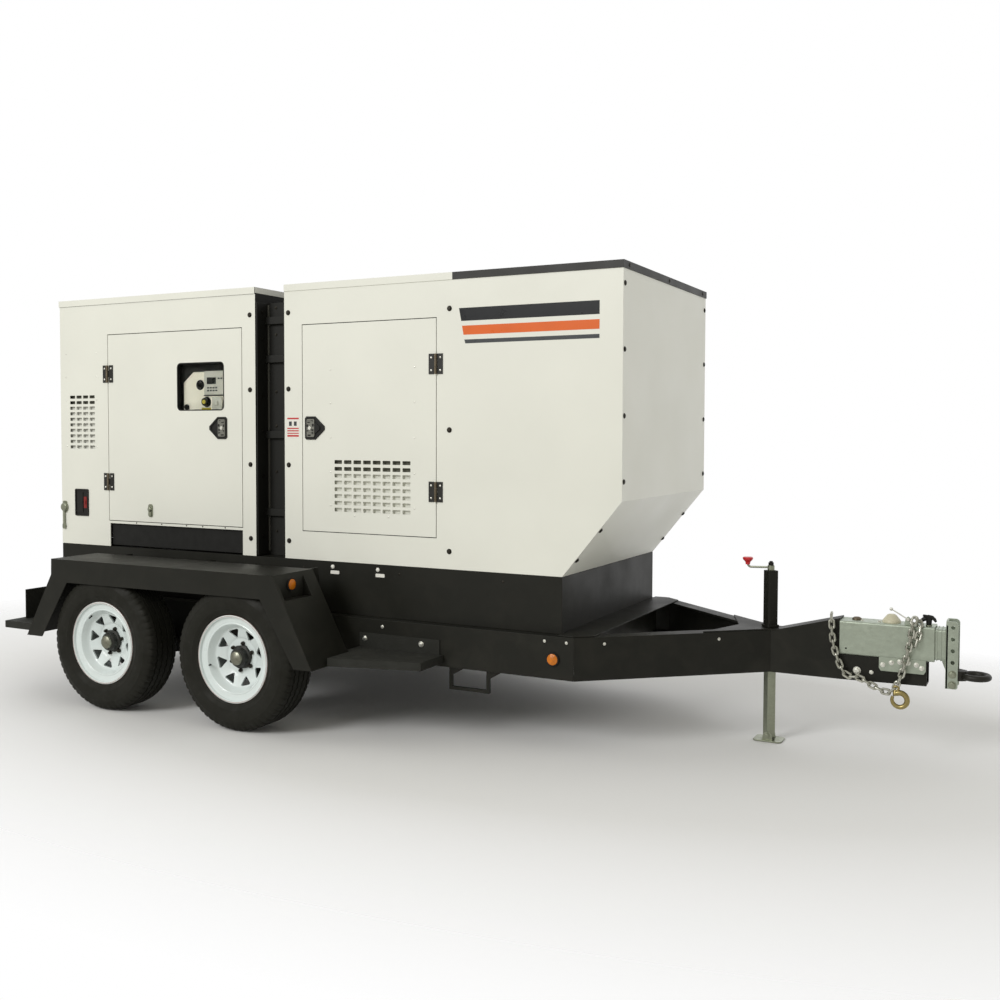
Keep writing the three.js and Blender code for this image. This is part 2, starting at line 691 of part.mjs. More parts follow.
// Round stator housing on two feet, open at both ends, with a bell towards the engine.
function alternator() {
  const start = 1090;
  const end = engineStart - gap;
  const deck = panelBottom + gap;
  const drum = rod("x", 262, start, end, 0, shaftHeight, 24);
  const feet = [start + 60, end - 160].flatMap((x) =>
    [-230, 130].map((y) => block(x, x + 100, y, y + 100, deck, 1090)));
  const bore = rod("x", 222, start - 10, end + 10, 0, shaftHeight, 24);
  return cut(join([drum, ...feet]), [bore]);
}

function radiator() {
  const deck = panelBottom + gap;
  const core = block(2610, 2670, -440, 440, 850, 1740);
  const tanks = [block(2600, 2680, -450, 450, deck, 851), block(2600, 2680, -450, 450, 1739, 1800)];
  return join([core, ...tanks]);
}

// Six-blade fan on the engine's stub shaft, ahead of the block.
function coolingFan() {
  const start = engineEnd + 14 + gap;
  const middle = start + 40;
  const core = rod("x", 70, start, start + 80, 0, shaftHeight, 20);
  const blades = [];
  for (let i = 0; i < 6; i += 1) {
    const blade = new THREE.BoxGeometry(5, 120, 310);
    blade.rotateZ(0.5).translate(0, 0, 215).rotateX((i / 6) * 2 * Math.PI).translate(middle, 0, shaftHeight);
    blades.push(blade);
  }
  return join([core, ...blades]);
}

// Hollow silencer hung under the roof ahead of the radiator, with an open tail pipe.
function muffler() {
  const can = rod("y", 130, -330, 330, 3030, 1660, 20);
  const room = rod("y", 126, -326, 326, 3030, 1660, 20);
  const straps = [-230, 200].map((y) => block(3015, 3045, y, y + 30, 1787, roofBottom));
  const tail = rod("z", 45, 1700, roofBottom - 30, 3030, 0, 12);
  const bore = rod("z", 41, 1690, roofBottom, 3030, 0, 12);
  return cut(join([can, ...straps, tail]), [room, bore]);
}

// ---------- jack ----------
const legFoot = 14;
const legTop = 532;

// Square tubes set corner-forward in the point of the tongue.
function squareTube(size, z0, z1) {
  const tube = new THREE.BoxGeometry(size, size, z1 - z0);
  return tube.rotateZ(Math.PI / 4).translate(0, 0, (z0 + z1) / 2);
}

function jackTube() {
  return cut(squareTube(jackTubeSize, 334, jackTop), [
    squareTube(jackLegSize + 1.2, 320, jackTop - 6),
    rod("z", 9.5, jackTop - 10, jackTop + 10, 0, 0),
  ]);
}

function jackLeg() {
  const wall = 4;
  const tube = squareTube(jackLegSize, legFoot, legTop);
  return cut(tube, [squareTube(jackLegSize - 2 * wall, legFoot + 30, legTop + 5)]);
}

// Foot plate with two ears that the leg's cross pin runs through.
function jackFoot() {
  const outline = [[-65, -38], [-52, -50], [52, -50], [65, -38], [65, 38], [52, 50], [-52, 50], [-65, 38]];
  const plate = plan(outline, 0, 7);
  const corner = jackLegSize / Math.SQRT2;
  const ears = [-1, 1].map((y) => block(-24, 24, y * (corner + 1), y * (corner + 6), 6, 42));
  const pin = rod("y", 6, -38, 38, 0, 28, 12);
  return { foot: join([plate, ...ears, pin]), pinHole: rod("y", 6.6, -40, 40, 0, 28, 12) };
}

// Screw head and cranked arm: the arm reaches back to the knob's spindle.
function jackCrank() {
  const screw = rod("z", 8.5, 560, jackTop + 10, 0, 0, 16);
  const head = rod("z", 17, jackTop + gap, jackTop + 36, 0, 0, 16);
  const armHeight = jackTop + 16;
  const arm = block(-crankArm - 9, 8, -9, 9, armHeight - 4, armHeight + 4);
  const peg = rod("z", 6, armHeight, armHeight + 34, -crankArm, 0, 14);
  return join([screw, head, arm, peg]);
}

function jackKnob() {
  const low = jackTop + 16 + 4 + gap;
  const shape = [[7, low], [12, low], [13, low + 10], [24, low + 22], [23, low + 31], [16, low + 36],
    [0, low + 37], [0, low + 32], [7, low + 32], [7, low]];
  return turned(shape, 16).rotateX(Math.PI / 2);
}

function addJack() {
  const jack = new THREE.Group();
  jack.position.x = jackX;
  const { foot, pinHole } = jackFoot();
  addPiece("jack_tube", jackTube(), paint.deepBlack, jack);
  addPiece("jack_leg", cut(jackLeg(), [pinHole]), paint.zinc, jack);
  addPiece("jack_foot", foot, paint.zinc, jack);
  addPiece("jack_crank", jackCrank(), paint.zinc, jack);
  addPiece("jack_knob", jackKnob(), paint.red, jack).position.x = -crankArm;
  generator.add(jack);
}

// ---------- surge actuator and towing ring ----------
function actuatorCase() {
  const wall = 6;
  const low = caseBottom;
  const box = block(caseStart, caseEnd, -caseHalfWidth, caseHalfWidth, low, caseTop);
  const room = block(caseStart + wall, caseEnd + 5, -caseHalfWidth + wall, caseHalfWidth - wall,
    low + wall, caseTop - wall);
  const flanges = [-1, 1].map((y) => block(4430, 4622, y * (drawbarHalfWidth + gap), y * caseHalfWidth,
    385, low + 8));
  const reservoir = rod("z", 34, caseTop - 2, caseTop + 36, 4475, 0, 20);
  const bracket = block(4536, 4556, -40, -46, caseTop - 2, caseTop + 34);
  const gussetSlot = block(4632, caseEnd + 5, -9, 9, low - 5, low + wall + 1);
  const leverHole = rod("y", 3.6, -50, -35, 4546, caseTop + 26, 12);
  return cut(join([box, ...flanges, reservoir, bracket]), [room, gussetSlot, leverHole]);
}

// Sliding bar with the hole-lined channel welded to its front end.
function actuatorSlide() {
  const half = caseHalfWidth - 7;
  const low = caseBottom + 7;
  const high = caseTop - 7;
  const bar = block(4390, channelStart + 1, -half, half, low, high);
  const web = block(channelStart, channelStart + 8, -46, 46, 332, 622);
  const cheeks = [-1, 1].map((y) => block(channelStart, channelEnd, y * 38, y * 46, 332, 622));
  const gusset = profile([[caseEnd + 21, low + 1], [channelStart + 1, low + 1], [channelStart + 1, 392]],
    -5, 5);
  const holes = [395, 350, 445, 495, 545, 595].map((z) => rod("y", 8, -60, 60, 4727, z, 8));
  return cut(join([bar, web, ...cheeks, gusset]), holes);
}

// Forged ring with a flat shank that fits between the channel's cheeks.
function pintleRing() {
  const ring = new THREE.TorusGeometry(ringOuter - ringSection, ringSection, 8, 24);
  ring.translate(ringCentreX, 0, ringHeight);
  const shank = block(channelStart + 8 + gap, 4756, -37.4, 37.4, 341, 419);
  const neck = plan([[4750, -37], [4790, -22], [4790, 22], [4750, 37]], 373, 401);
  const bolts = [395, 350].map((z) => rod("y", 7, -50, 50, 4727, z, 8));
  const eye = rod("z", ringOuter - 2 * ringSection, 360, 414, ringCentreX, 0, 24);
  return join([cut(join([ring, shank, neck]), [eye]), ...bolts]);
}

const leverPivot = { x: 4546, y: -51, z: caseTop + 26 };

// Hand lever of the breakaway brake: a thin bar with a ball end, turning on a pin.
function breakawayLever() {
  const pin = rod("y", 3, -4.8, 14, 0, 0, 12);
  const boss = rod("y", 7, -3.5, 4, 0, 0, 14);
  const reach = 80;
  const tilt = Math.atan2(40, 68);
  const bar = new THREE.BoxGeometry(reach, 5, 7).translate(-reach / 2, 0, 0);
  const ball = new THREE.SphereGeometry(8, 8, 6).translate(-reach, 0, 0);
  return join([pin, boss, bar.rotateY(tilt), ball.rotateY(tilt)]);
}

// Safety chain: over the drawbar, down to its bolt, forward to the hook, and up over the actuator.
function safetyChain() {
  const route = [[4225, -20, 604], [4222, -52, 606], [4228, -68, 570], [4262, -70, 480], [4290, -70, 385],
    [4340, -70, 345], [4400, -76, 305], [4470, -84, 262], [4514, -86, 258], [4530, -82, 320],
    [4548, -78, 440], [4566, -74, 560], [4570, -64, 612], [4572, -30, 608]];
  return bentBar(route, 8.5, 36, 6);
}

// ---------- assembly ----------
function addChassis() {
  for (const side of sides) {
    addPiece(`frame_rail_${side.name}`, frameRail(side), paint.black);
    addPiece(`tongue_rail_${side.name}`, tongueRail(side), paint.black);
    addPiece(`front_step_${side.name}`, frontStep(side), paint.deepBlack);
    addPiece(`rear_step_${side.name}`, rearStep(side), paint.deepBlack);
    addPiece(`fender_${side.name}`, fender(side), paint.black);
    addWheelSet(side, "rear", rearAxleX);
    addWheelSet(side, "front", frontAxleX);
  }
  addPiece("front_deck", frontDeck(), paint.black);
  addPiece("drawbar", drawbar(), paint.black);
  addPiece("base_tank", baseTank(), paint.black);
  addPiece("axle_tube_rear", axleTube(rearAxleX), paint.black);
  addPiece("axle_tube_front", axleTube(frontAxleX), paint.black);
}

function addHitch() {
  addPiece("actuator_case", actuatorCase(), paint.zinc);
  addPiece("actuator_slide", actuatorSlide(), paint.zinc);
  addPiece("pintle_ring", pintleRing(), paint.forged);
  const lever = addPiece("breakaway_lever", breakawayLever(), paint.steel);
  lever.position.set(leverPivot.x, leverPivot.y, leverPivot.z);
  addPiece("safety_chain", safetyChain(), paint.steel);
}

function addEnclosure() {
  addPiece("rear_housing", rearHousing(), paint.ivory);
  addPiece("front_housing", frontHousing(), paint.ivory);
  addPiece("roof_grille", roofGrille(), paint.deepBlack);
  const [right, left] = sides;
  const controlLatchX = controlDoor.end - 139;
  const engineLatchX = engineDoor.start + 57;
  addPiece("control_door", door(right, controlDoor, controlPivotX, -1, [roundedWindow(right)]), paint.ivory);
  addPiece("access_door_left", door(left, controlDoor, controlPivotX, -1, []), paint.ivory);
  addPiece("engine_door_right", door(right, engineDoor, enginePivotX, 1, []), paint.ivory);
  addPiece("engine_door_left", door(left, engineDoor, enginePivotX, 1, []), paint.ivory);
  addPiece("control_door_latch", latch(right, controlLatchX, -1), paint.deepBlack);
  addPiece("access_door_latch", latch(left, controlLatchX, -1), paint.deepBlack);
  addPiece("engine_door_right_latch", latch(right, engineLatchX, 1), paint.deepBlack);
  addPiece("engine_door_left_latch", latch(left, engineLatchX, 1), paint.deepBlack);
}

function addPowerUnit() {
  addPiece("control_panel", controlPanel(), paint.panelCream);
  addPiece("key_switch", keySwitch(), paint.deepBlack);
  addPiece("emergency_stop_button", emergencyStop(), paint.deepBlack);
  addPiece("engine_block", engineBlock(), paint.engineGrey);
  addPiece("alternator", alternator(), paint.engineGrey);
  addPiece("radiator", radiator(), paint.steel);
  addPiece("cooling_fan", coolingFan(), paint.deepBlack);
  addPiece("muffler", muffler(), paint.steel);
}

addChassis();
addJack();
addHitch();
addEnclosure();
addPowerUnit();

// The origin: on the ground, midway between the rear steps' edge and the towing ring's tip.
generator.position.x = -(rearStepEdge + ringCentreX + ringOuter) / 2;

export default generator;
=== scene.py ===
# Looks of the towable diesel generator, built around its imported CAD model.
# Shapes are drawn in millimetres, with x counted from the rear face of the enclosure, and are turned
# into metres in the CAD frame when a piece is made.
import json
import math

import bmesh
import bpy
from mathutils import Matrix, Vector


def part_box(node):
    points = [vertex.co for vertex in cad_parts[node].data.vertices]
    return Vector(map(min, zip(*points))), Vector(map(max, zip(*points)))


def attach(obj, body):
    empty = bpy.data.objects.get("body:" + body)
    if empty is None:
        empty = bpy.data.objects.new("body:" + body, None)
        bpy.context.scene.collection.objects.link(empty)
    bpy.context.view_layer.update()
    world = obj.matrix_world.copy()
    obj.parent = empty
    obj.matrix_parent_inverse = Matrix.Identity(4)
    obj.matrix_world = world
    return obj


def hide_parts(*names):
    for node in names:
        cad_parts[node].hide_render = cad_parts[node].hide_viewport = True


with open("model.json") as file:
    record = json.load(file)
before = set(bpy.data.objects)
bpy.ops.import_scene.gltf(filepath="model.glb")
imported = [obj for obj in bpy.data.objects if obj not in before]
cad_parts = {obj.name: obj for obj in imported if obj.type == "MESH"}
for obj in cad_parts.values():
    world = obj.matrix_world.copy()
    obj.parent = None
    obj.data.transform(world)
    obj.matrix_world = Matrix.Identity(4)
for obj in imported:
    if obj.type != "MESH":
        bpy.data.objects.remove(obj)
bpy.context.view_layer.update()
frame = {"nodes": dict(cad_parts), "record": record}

# ---------- where things are ----------
MM = 0.001
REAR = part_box("base_tank")[0].x  # the enclosure's rear face, x = 0 in the drawing
SIDE = 605  # half the enclosure's width
SIDES = (("right", -1), ("left", 1))
FRONT = 3437  # the enclosure's front face
SLOPE_X, SLOPE_Z, SLOPE_RUN, SLOPE_RISE = 3157, 778, 280, 345  # the slanting face under it
GAP_START, GAP_END = 1425, 1613
ROOF_BOTTOM, ROOF_TOP = 2130, 2164
CONTROL_DOOR = (378, 1334, 925, 1958)
ENGINE_DOOR = (1727, 2504, 925, 1956)
WINDOW = (892, 1213, 1536, 1786)
HINGE_HEIGHTS = (1140, 1742)
LATCH_HEIGHT = 1441
PANEL = -566  # the control panel's face
STOP_X, STOP_Z = 1064, 1580
KEY_X, KEY_Z = 1018, 1671
WHEEL_PLANE, WHEEL_HEIGHT = 971, 345
AXLES = {"rear": 803, "front": 1656}
JACK_X = 3941
RAIL = 661  # outer face of a frame rail
TONGUE_START, TONGUE_END, TONGUE_MIDDLE = 3240, 3956, 50  # where a tongue rail runs from and to
BOLT_ROW = 424  # height of the large frame bolts
LEVER_X, LEVER_Z = 4546, 618
PIN_X, PIN_Y = 4628, -22
HITCH_BOLT_X = 4727

NODE_BODY = {n: body for body, nodes in frame["record"]["behaviour"]["bodies"].items() for n in nodes}
NODE_SLOT = {s["node"]: s["material_slot"] for s in frame["record"]["subparts"]}


# ---------- materials ----------
class Finish:
    """A procedural material: a Principled shader fed by noise in the object's own space."""

    def __init__(self, name, color, roughness, metallic=0.0, coat=0.0, ior=1.5, specular=0.5):
        self.material = bpy.data.materials.new(name)
        self.material.use_nodes = True
        self.nodes = self.material.node_tree.nodes
        self.links = self.material.node_tree.links
        self.shader = self.nodes["Principled BSDF"]
        self.place = self.nodes.new("ShaderNodeTexCoord").outputs["Object"]
        self.shader.inputs["Metallic"].default_value = metallic
        self.shader.inputs["Coat Weight"].default_value = coat
        self.shader.inputs["Coat Roughness"].default_value = 0.12
        self.shader.inputs["IOR"].default_value = ior
        self.shader.inputs["Specular IOR Level"].default_value = specular
        self.shader.inputs["Roughness"].default_value = roughness
        rgb = self.nodes.new("ShaderNodeRGB")
        rgb.outputs[0].default_value = (*color, 1)
        self.color = rgb.outputs[0]
        self.height = None

    def node(self, kind, source, entry, **values):
        """Adds a shader node, fed with an output at one of its inputs and given values at others."""
        made = self.nodes.new("ShaderNode" + kind)
        for name, value in values.items():
            made.inputs[name.replace("_", " ")].default_value = value
        self.links.new(source, made.inputs[entry])
        return made

    def stretched(self, stretch):
        return self.node("Mapping", self.place, "Vector", Scale=stretch).outputs[0]

    def noise(self, scale, detail=3.0, stretch=(1, 1, 1), distortion=0.0):
        made = self.node("TexNoise", self.stretched(stretch), "Vector",
                         Scale=scale, Detail=detail, Distortion=distortion)
        return made.outputs["Fac"]

    def cells(self, scale, stretch=(1, 1, 1), output="Color"):
        return self.node("TexVoronoi", self.stretched(stretch), "Vector", Scale=scale).outputs[output]

    def spread(self, value, low, high, out_low=0.0, out_high=1.0):
        made = self.node("MapRange", value, "Value",
                         From_Min=low, From_Max=high, To_Min=out_low, To_Max=out_high)
        return made.outputs["Result"]

    def times(self, a, b):
        product = self.node("Math", a, 0)
        product.operation = "MULTIPLY"
        self.links.new(b, product.inputs[1])
        return product.outputs[0]

    def tint(self, mask, color):
        mix = self.nodes.new("ShaderNodeMix")
        mix.data_type = "RGBA"
        self.links.new(mask, mix.inputs["Factor"])
        self.links.new(self.color, mix.inputs["A"])
        mix.inputs["B"].default_value = (*color, 1)
        self.color = mix.outputs["Result"]
        return self

    def vary_roughness(self, mask, low, high):
        self.links.new(self.spread(mask, 0.3, 0.7, low, high), self.shader.inputs["Roughness"])
        return self

    def bump(self, value, distance, strength=1.0):
        made = self.node("Bump", value, "Height", Distance=distance, Strength=strength)
        if self.height is not None:
            self.links.new(self.height, made.inputs["Normal"])
        self.height = made.outputs["Normal"]
        return self

    def low_down(self, low, high):
        """1 below the height low, falling to 0 at the height high, in metres."""
        split = self.node("SeparateXYZ", self.place, 0)
        return self.spread(split.outputs["Z"], low, high, 1.0, 0.0)

    def fade_out(self, stretch, near, far):
        """Opaque round the object's origin and gone further away."""
        away = self.node("VectorMath", self.stretched(stretch), 0)
        away.operation = "LENGTH"
        self.links.new(self.spread(away.outputs["Value"], near, far, 1, 0), self.shader.inputs["Alpha"])

    def done(self):
        self.links.new(self.color, self.shader.inputs["Base Color"])
        if self.height is not None:
            self.links.new(self.height, self.shader.inputs["Normal"])
        return self.material


def powder_coat(name, color, roughness, dust, coat=0.0, specular=0.5):
    """Sprayed paint: an orange-peel skin, a slight drift of tone, and road dust low down."""
    finish = Finish(name, color, roughness, coat=coat, specular=specular)
    shade = tuple(c * 0.9 for c in color)
    finish.tint(finish.spread(finish.noise(1.7, 4), 0.35, 0.75, 0.0, 0.55), shade)
    patches = finish.spread(finish.noise(9, 5, distortion=0.6), 0.45, 0.8)
    film = finish.times(finish.low_down(0.25, 1.0), patches)
    finish.tint(finish.spread(film, 0, 1, 0, 0.2), dust)
    finish.vary_roughness(finish.noise(4, 4), roughness - 0.07, roughness + 0.09)
    finish.bump(finish.noise(420, 2), 0.00035, 0.35)
    return finish.done()


def gritty_paint(name, color):
    """Anti-slip paint with grit in it, polished where boots tread."""
    finish = Finish(name, color, 0.75, specular=0.35)
    grit = finish.cells(260, output="Distance")
    finish.tint(finish.spread(finish.noise(6, 4), 0.5, 0.8, 0, 0.35), tuple(c * 2.2 for c in color))
    finish.bump(grit, 0.0016, 0.9)
    finish.vary_roughness(finish.noise(12, 3), 0.6, 0.9)
    return finish.done()


def plated(name, color, spangle, roughness, streak=0.25):
    """Zinc: crystal spangle, faint drawn streaks and dull patches."""
    finish = Finish(name, color, roughness, metallic=0.9)
    finish.tint(finish.spread(finish.cells(spangle), 0, 1, 0, 0.4), tuple(c * 0.72 for c in color))
    patches = finish.spread(finish.noise(14, 5, distortion=1.2), 0.5, 0.75, 0, streak)
    finish.tint(patches, tuple(min(1, c * 1.25) for c in color))
    finish.vary_roughness(finish.noise(40, 3, stretch=(1, 1, 6)), roughness - 0.08, roughness + 0.16)
    finish.bump(finish.noise(300, 2), 0.0002, 0.3)
    return finish.done()


def bare_metal(name, color, roughness, grime):
    finish = Finish(name, color, roughness, metallic=1.0)
    finish.tint(finish.spread(finish.noise(60, 5), 0.5, 0.8, 0, 0.6), grime)
    finish.vary_roughness(finish.noise(90, 3), roughness, roughness + 0.2)
    finish.bump(finish.noise(500, 2), 0.0002, 0.3)
    return finish.done()


def casting(name, color, roughness, metallic=0.3):
    finish = Finish(name, color, roughness, metallic=metallic)
    finish.tint(finish.spread(finish.noise(30, 5), 0.45, 0.75, 0, 0.7), tuple(c * 0.55 for c in color))
    finish.vary_roughness(finish.noise(25, 4), roughness - 0.1, roughness + 0.15)
    finish.bump(finish.noise(240, 4), 0.0012, 0.5)
    return finish.done()


def plastic(name, color, roughness, grain=0.0004, coat=0.0, specular=0.4):
    finish = Finish(name, color, roughness, coat=coat, specular=specular)
    finish.tint(finish.spread(finish.noise(8, 3), 0.45, 0.8, 0, 0.5), tuple(c * 0.8 for c in color))
    finish.vary_roughness(finish.noise(20, 3), roughness - 0.05, roughness + 0.1)
    finish.bump(finish.noise(700, 2), grain, 0.4)
    return finish.done()


def tyre_rubber():
    finish = Finish("tyre_rubber", (0.011, 0.0108, 0.0075), 0.62, specular=0.2)
    finish.tint(finish.spread(finish.noise(7, 5, distortion=0.8), 0.5, 0.85, 0, 0.4), (0.026, 0.025, 0.02))
    finish.tint(finish.spread(finish.noise(45, 4), 0.62, 0.88, 0, 0.4), (0.04, 0.038, 0.03))
    finish.vary_roughness(finish.noise(14, 4), 0.5, 0.8)
    finish.bump(finish.noise(350, 3), 0.0006, 0.5)
    return finish.done()


def foam_lining():
    """Black acoustic foam with an open-cell skin."""
    finish = Finish("acoustic_foam", (0.018, 0.018, 0.017), 0.95)
    finish.tint(finish.spread(finish.noise(12, 4), 0.5, 0.8), (0.035, 0.035, 0.033))
    finish.bump(finish.cells(220, output="Distance"), 0.003, 0.9)
    return finish.done()


def lens(name, color):
    """Moulded lamp lens, ribbed inside."""
    finish = Finish(name, color, 0.16, ior=1.49)
    finish.shader.inputs["Transmission Weight"].default_value = 0.25
    finish.tint(finish.spread(finish.noise(60, 2), 0.4, 0.7, 0, 0.6), tuple(c * 0.55 for c in color))
    finish.bump(finish.cells(240, output="Distance"), 0.0015, 0.5)
    return finish.done()


def clear_pane():
    finish = Finish("window_pane", (0.97, 0.98, 0.97), 0.02, ior=1.08, specular=0.2)
    finish.shader.inputs["Transmission Weight"].default_value = 1.0
    finish.tint(finish.spread(finish.noise(5, 4), 0.5, 0.8, 0, 0.3), (0.93, 0.95, 0.94))
    return finish.done()


def display_glass():
    finish = Finish("display_glass", (0.012, 0.014, 0.013), 0.3, specular=0.2)
    finish.tint(finish.spread(finish.cells(180, stretch=(1, 1, 3)), 0.45, 0.9, 0, 0.3), (0.05, 0.065, 0.055))
    finish.vary_roughness(finish.noise(30, 2), 0.25, 0.4)
    return finish.done()


def finned_core():
    """Radiator core: close corrugated fins between flat tubes."""
    finish = Finish("finned_core", (0.3, 0.31, 0.3), 0.5, metallic=0.8)
    wave = finish.nodes.new("ShaderNodeTexWave")
    wave.bands_direction = "Z"
    wave.inputs["Scale"].default_value = 90
    finish.links.new(finish.place, wave.inputs["Vector"])
    # The bands follow the fins; their dark is painted shade in the gaps between them.
    finish.tint(finish.spread(wave.outputs["Fac"], 0.3, 0.7), (0.03, 0.03, 0.03))
    finish.bump(wave.outputs["Fac"], 0.002, 0.8)
    return finish.done()


DUST = (0.06, 0.055, 0.042)
IVORY = powder_coat("ivory_powder_coat", (0.78, 0.785, 0.71), 0.42, (0.62, 0.58, 0.46), coat=0.15)
CHASSIS = powder_coat("chassis_charcoal_paint", (0.0125, 0.0125, 0.0095), 0.46, DUST, specular=0.2)
GAP_BLACK = powder_coat("gap_black_paint", (0.0105, 0.0105, 0.0085), 0.55, DUST, specular=0.3)
SEAM_GREY = powder_coat("gap_seam_paint", (0.085, 0.083, 0.07), 0.5, DUST, specular=0.3)
ROOF_BLACK = powder_coat("roof_black_paint", (0.02, 0.02, 0.018), 0.5, DUST, specular=0.4)
GRIT = gritty_paint("step_anti_slip", (0.017, 0.0175, 0.0135))
RUBBER = tyre_rubber()
SEAL = plastic("black_seal_rubber", (0.012, 0.012, 0.011), 0.7, specular=0.25)
RIM_WHITE = powder_coat("rim_white_paint", (0.70, 0.77, 0.76), 0.32, (0.42, 0.4, 0.34), coat=0.3)
PINSTRIPE = powder_coat("rim_pinstripe", (0.36, 0.09, 0.06), 0.4, DUST)
HUB_IRON = casting("hub_greased_iron", (0.018, 0.019, 0.015), 0.45)
CAP_STEEL = bare_metal("pressed_steel_cap", (0.25, 0.25, 0.20), 0.30, (0.13, 0.125, 0.095))
GALVANISED = plated("galvanised_steel", (0.43, 0.48, 0.40), 55, 0.40)
ZINC = plated("zinc_plating", (0.33, 0.35, 0.27), 160, 0.34)
YELLOW_ZINC = plated("yellow_zinc", (0.36, 0.29, 0.12), 160, 0.32)
CHAIN_STEEL = bare_metal("chain_steel", (0.50, 0.50, 0.44), 0.28, (0.13, 0.13, 0.10))
FORGED = casting("forged_black_steel", (0.02, 0.019, 0.014), 0.48, 0.4)
BOLT_STEEL = bare_metal("bolt_steel", (0.82, 0.82, 0.76), 0.30, (0.3, 0.28, 0.24))
BOLT_DARK = bare_metal("dark_bolt", (0.045, 0.042, 0.035), 0.42, (0.02, 0.02, 0.016))
HINGE_STEEL = bare_metal("hinge_steel", (0.17, 0.14, 0.10), 0.38, (0.06, 0.05, 0.04))
HINGE_BLACK = plastic("hinge_black_coat", (0.014, 0.014, 0.012), 0.45)
LATCH_BLACK = plastic("latch_black_casting", (0.010, 0.010, 0.009), 0.42, specular=0.3)
LATCH_INNER = plastic("latch_paddle_casting", (0.19, 0.19, 0.165), 0.4)
RED = plastic("red_moulded_plastic", (0.62, 0.02, 0.025), 0.3, coat=0.3)
DARK_RED = plastic("breaker_red_plastic", (0.22, 0.012, 0.01), 0.4)
YELLOW = plastic("yellow_moulded_plastic", (0.42, 0.36, 0.03), 0.35)
BLACK_PLASTIC = plastic("black_moulded_plastic", (0.010, 0.010, 0.009), 0.42, specular=0.3)
CREAM = plastic("cream_reservoir_plastic", (0.60, 0.57, 0.42), 0.4)
LABEL_GREY = plastic("grey_label_film", (0.52, 0.52, 0.45), 0.4)
LABEL_WHITE = plastic("white_label_film", (0.80, 0.79, 0.73), 0.35)
LABEL_RED = plastic("red_label_film", (0.55, 0.05, 0.05), 0.35)
STRIPE_BLACK = plastic("charcoal_stripe_film", (0.008, 0.009, 0.011), 0.3, specular=0.25)
STRIPE_ORANGE = plastic("orange_stripe_film", (0.72, 0.13, 0.015), 0.3, specular=0.3)
STRIPE_GREY = plastic("grey_stripe_film", (0.06, 0.065, 0.07), 0.3, specular=0.25)
PANEL_CREAM = powder_coat("panel_cream_coat", (0.80, 0.77, 0.64), 0.5, DUST)
AMBER = lens("amber_lens", (0.85, 0.24, 0.01))
TAIL_RED = lens("tail_lamp_lens", (0.45, 0.012, 0.01))
PANE = clear_pane()
DISPLAY = display_glass()
FOAM = foam_lining()
# Colour of the sheet behind the vents' top rows: painted shade.
VENT_SHADE = plastic("vent_painted_shade_grey", (0.16, 0.16, 0.13), 0.7, specular=0.2)
CORE = finned_core()
ENGINE = casting("engine_enamel", (0.11, 0.12, 0.12), 0.5)
SILENCER = bare_metal("aluminised_steel", (0.36, 0.34, 0.3), 0.45, (0.16, 0.14, 0.1))

SLOT_FINISH = {
    "chassis_paint": CHASSIS, "step_paint": GRIT, "enclosure_paint": IVORY, "grille_paint": ROOF_BLACK,
    "tyre": RUBBER, "rim_paint": RIM_WHITE, "hub_iron": HUB_IRON, "galvanised": GALVANISED, "zinc": ZINC,
    "jack_paint": CHASSIS, "knob_plastic": RED, "chain_steel": CHAIN_STEEL, "ring_steel": FORGED,
    "latch_black": LATCH_BLACK, "panel_paint": PANEL_CREAM, "switch_black": BLACK_PLASTIC,
    "stop_switch": BLACK_PLASTIC, "engine_paint": ENGINE, "radiator_core": CORE, "fan_black": BLACK_PLASTIC,
    "silencer_steel": SILENCER,
}


# ---------- shapes ----------
AXES = {"x": (1, 0, 0), "y": (0, 1, 0), "z": (0, 0, 1)}


def across(axis, a, b, c):
    """The point at (a, b) in the plane across an axis, c along it."""
    return {"x": (c, a, b), "y": (a, c, b), "z": (a, b, c)}[axis]


def direction(axis):
    """Turns the Z axis onto x, y or z, or onto a vector."""
    target = Vector(AXES[axis] if isinstance(axis, str) else axis)
    return Vector((0, 0, 1)).rotation_difference(target).to_matrix().to_4x4()


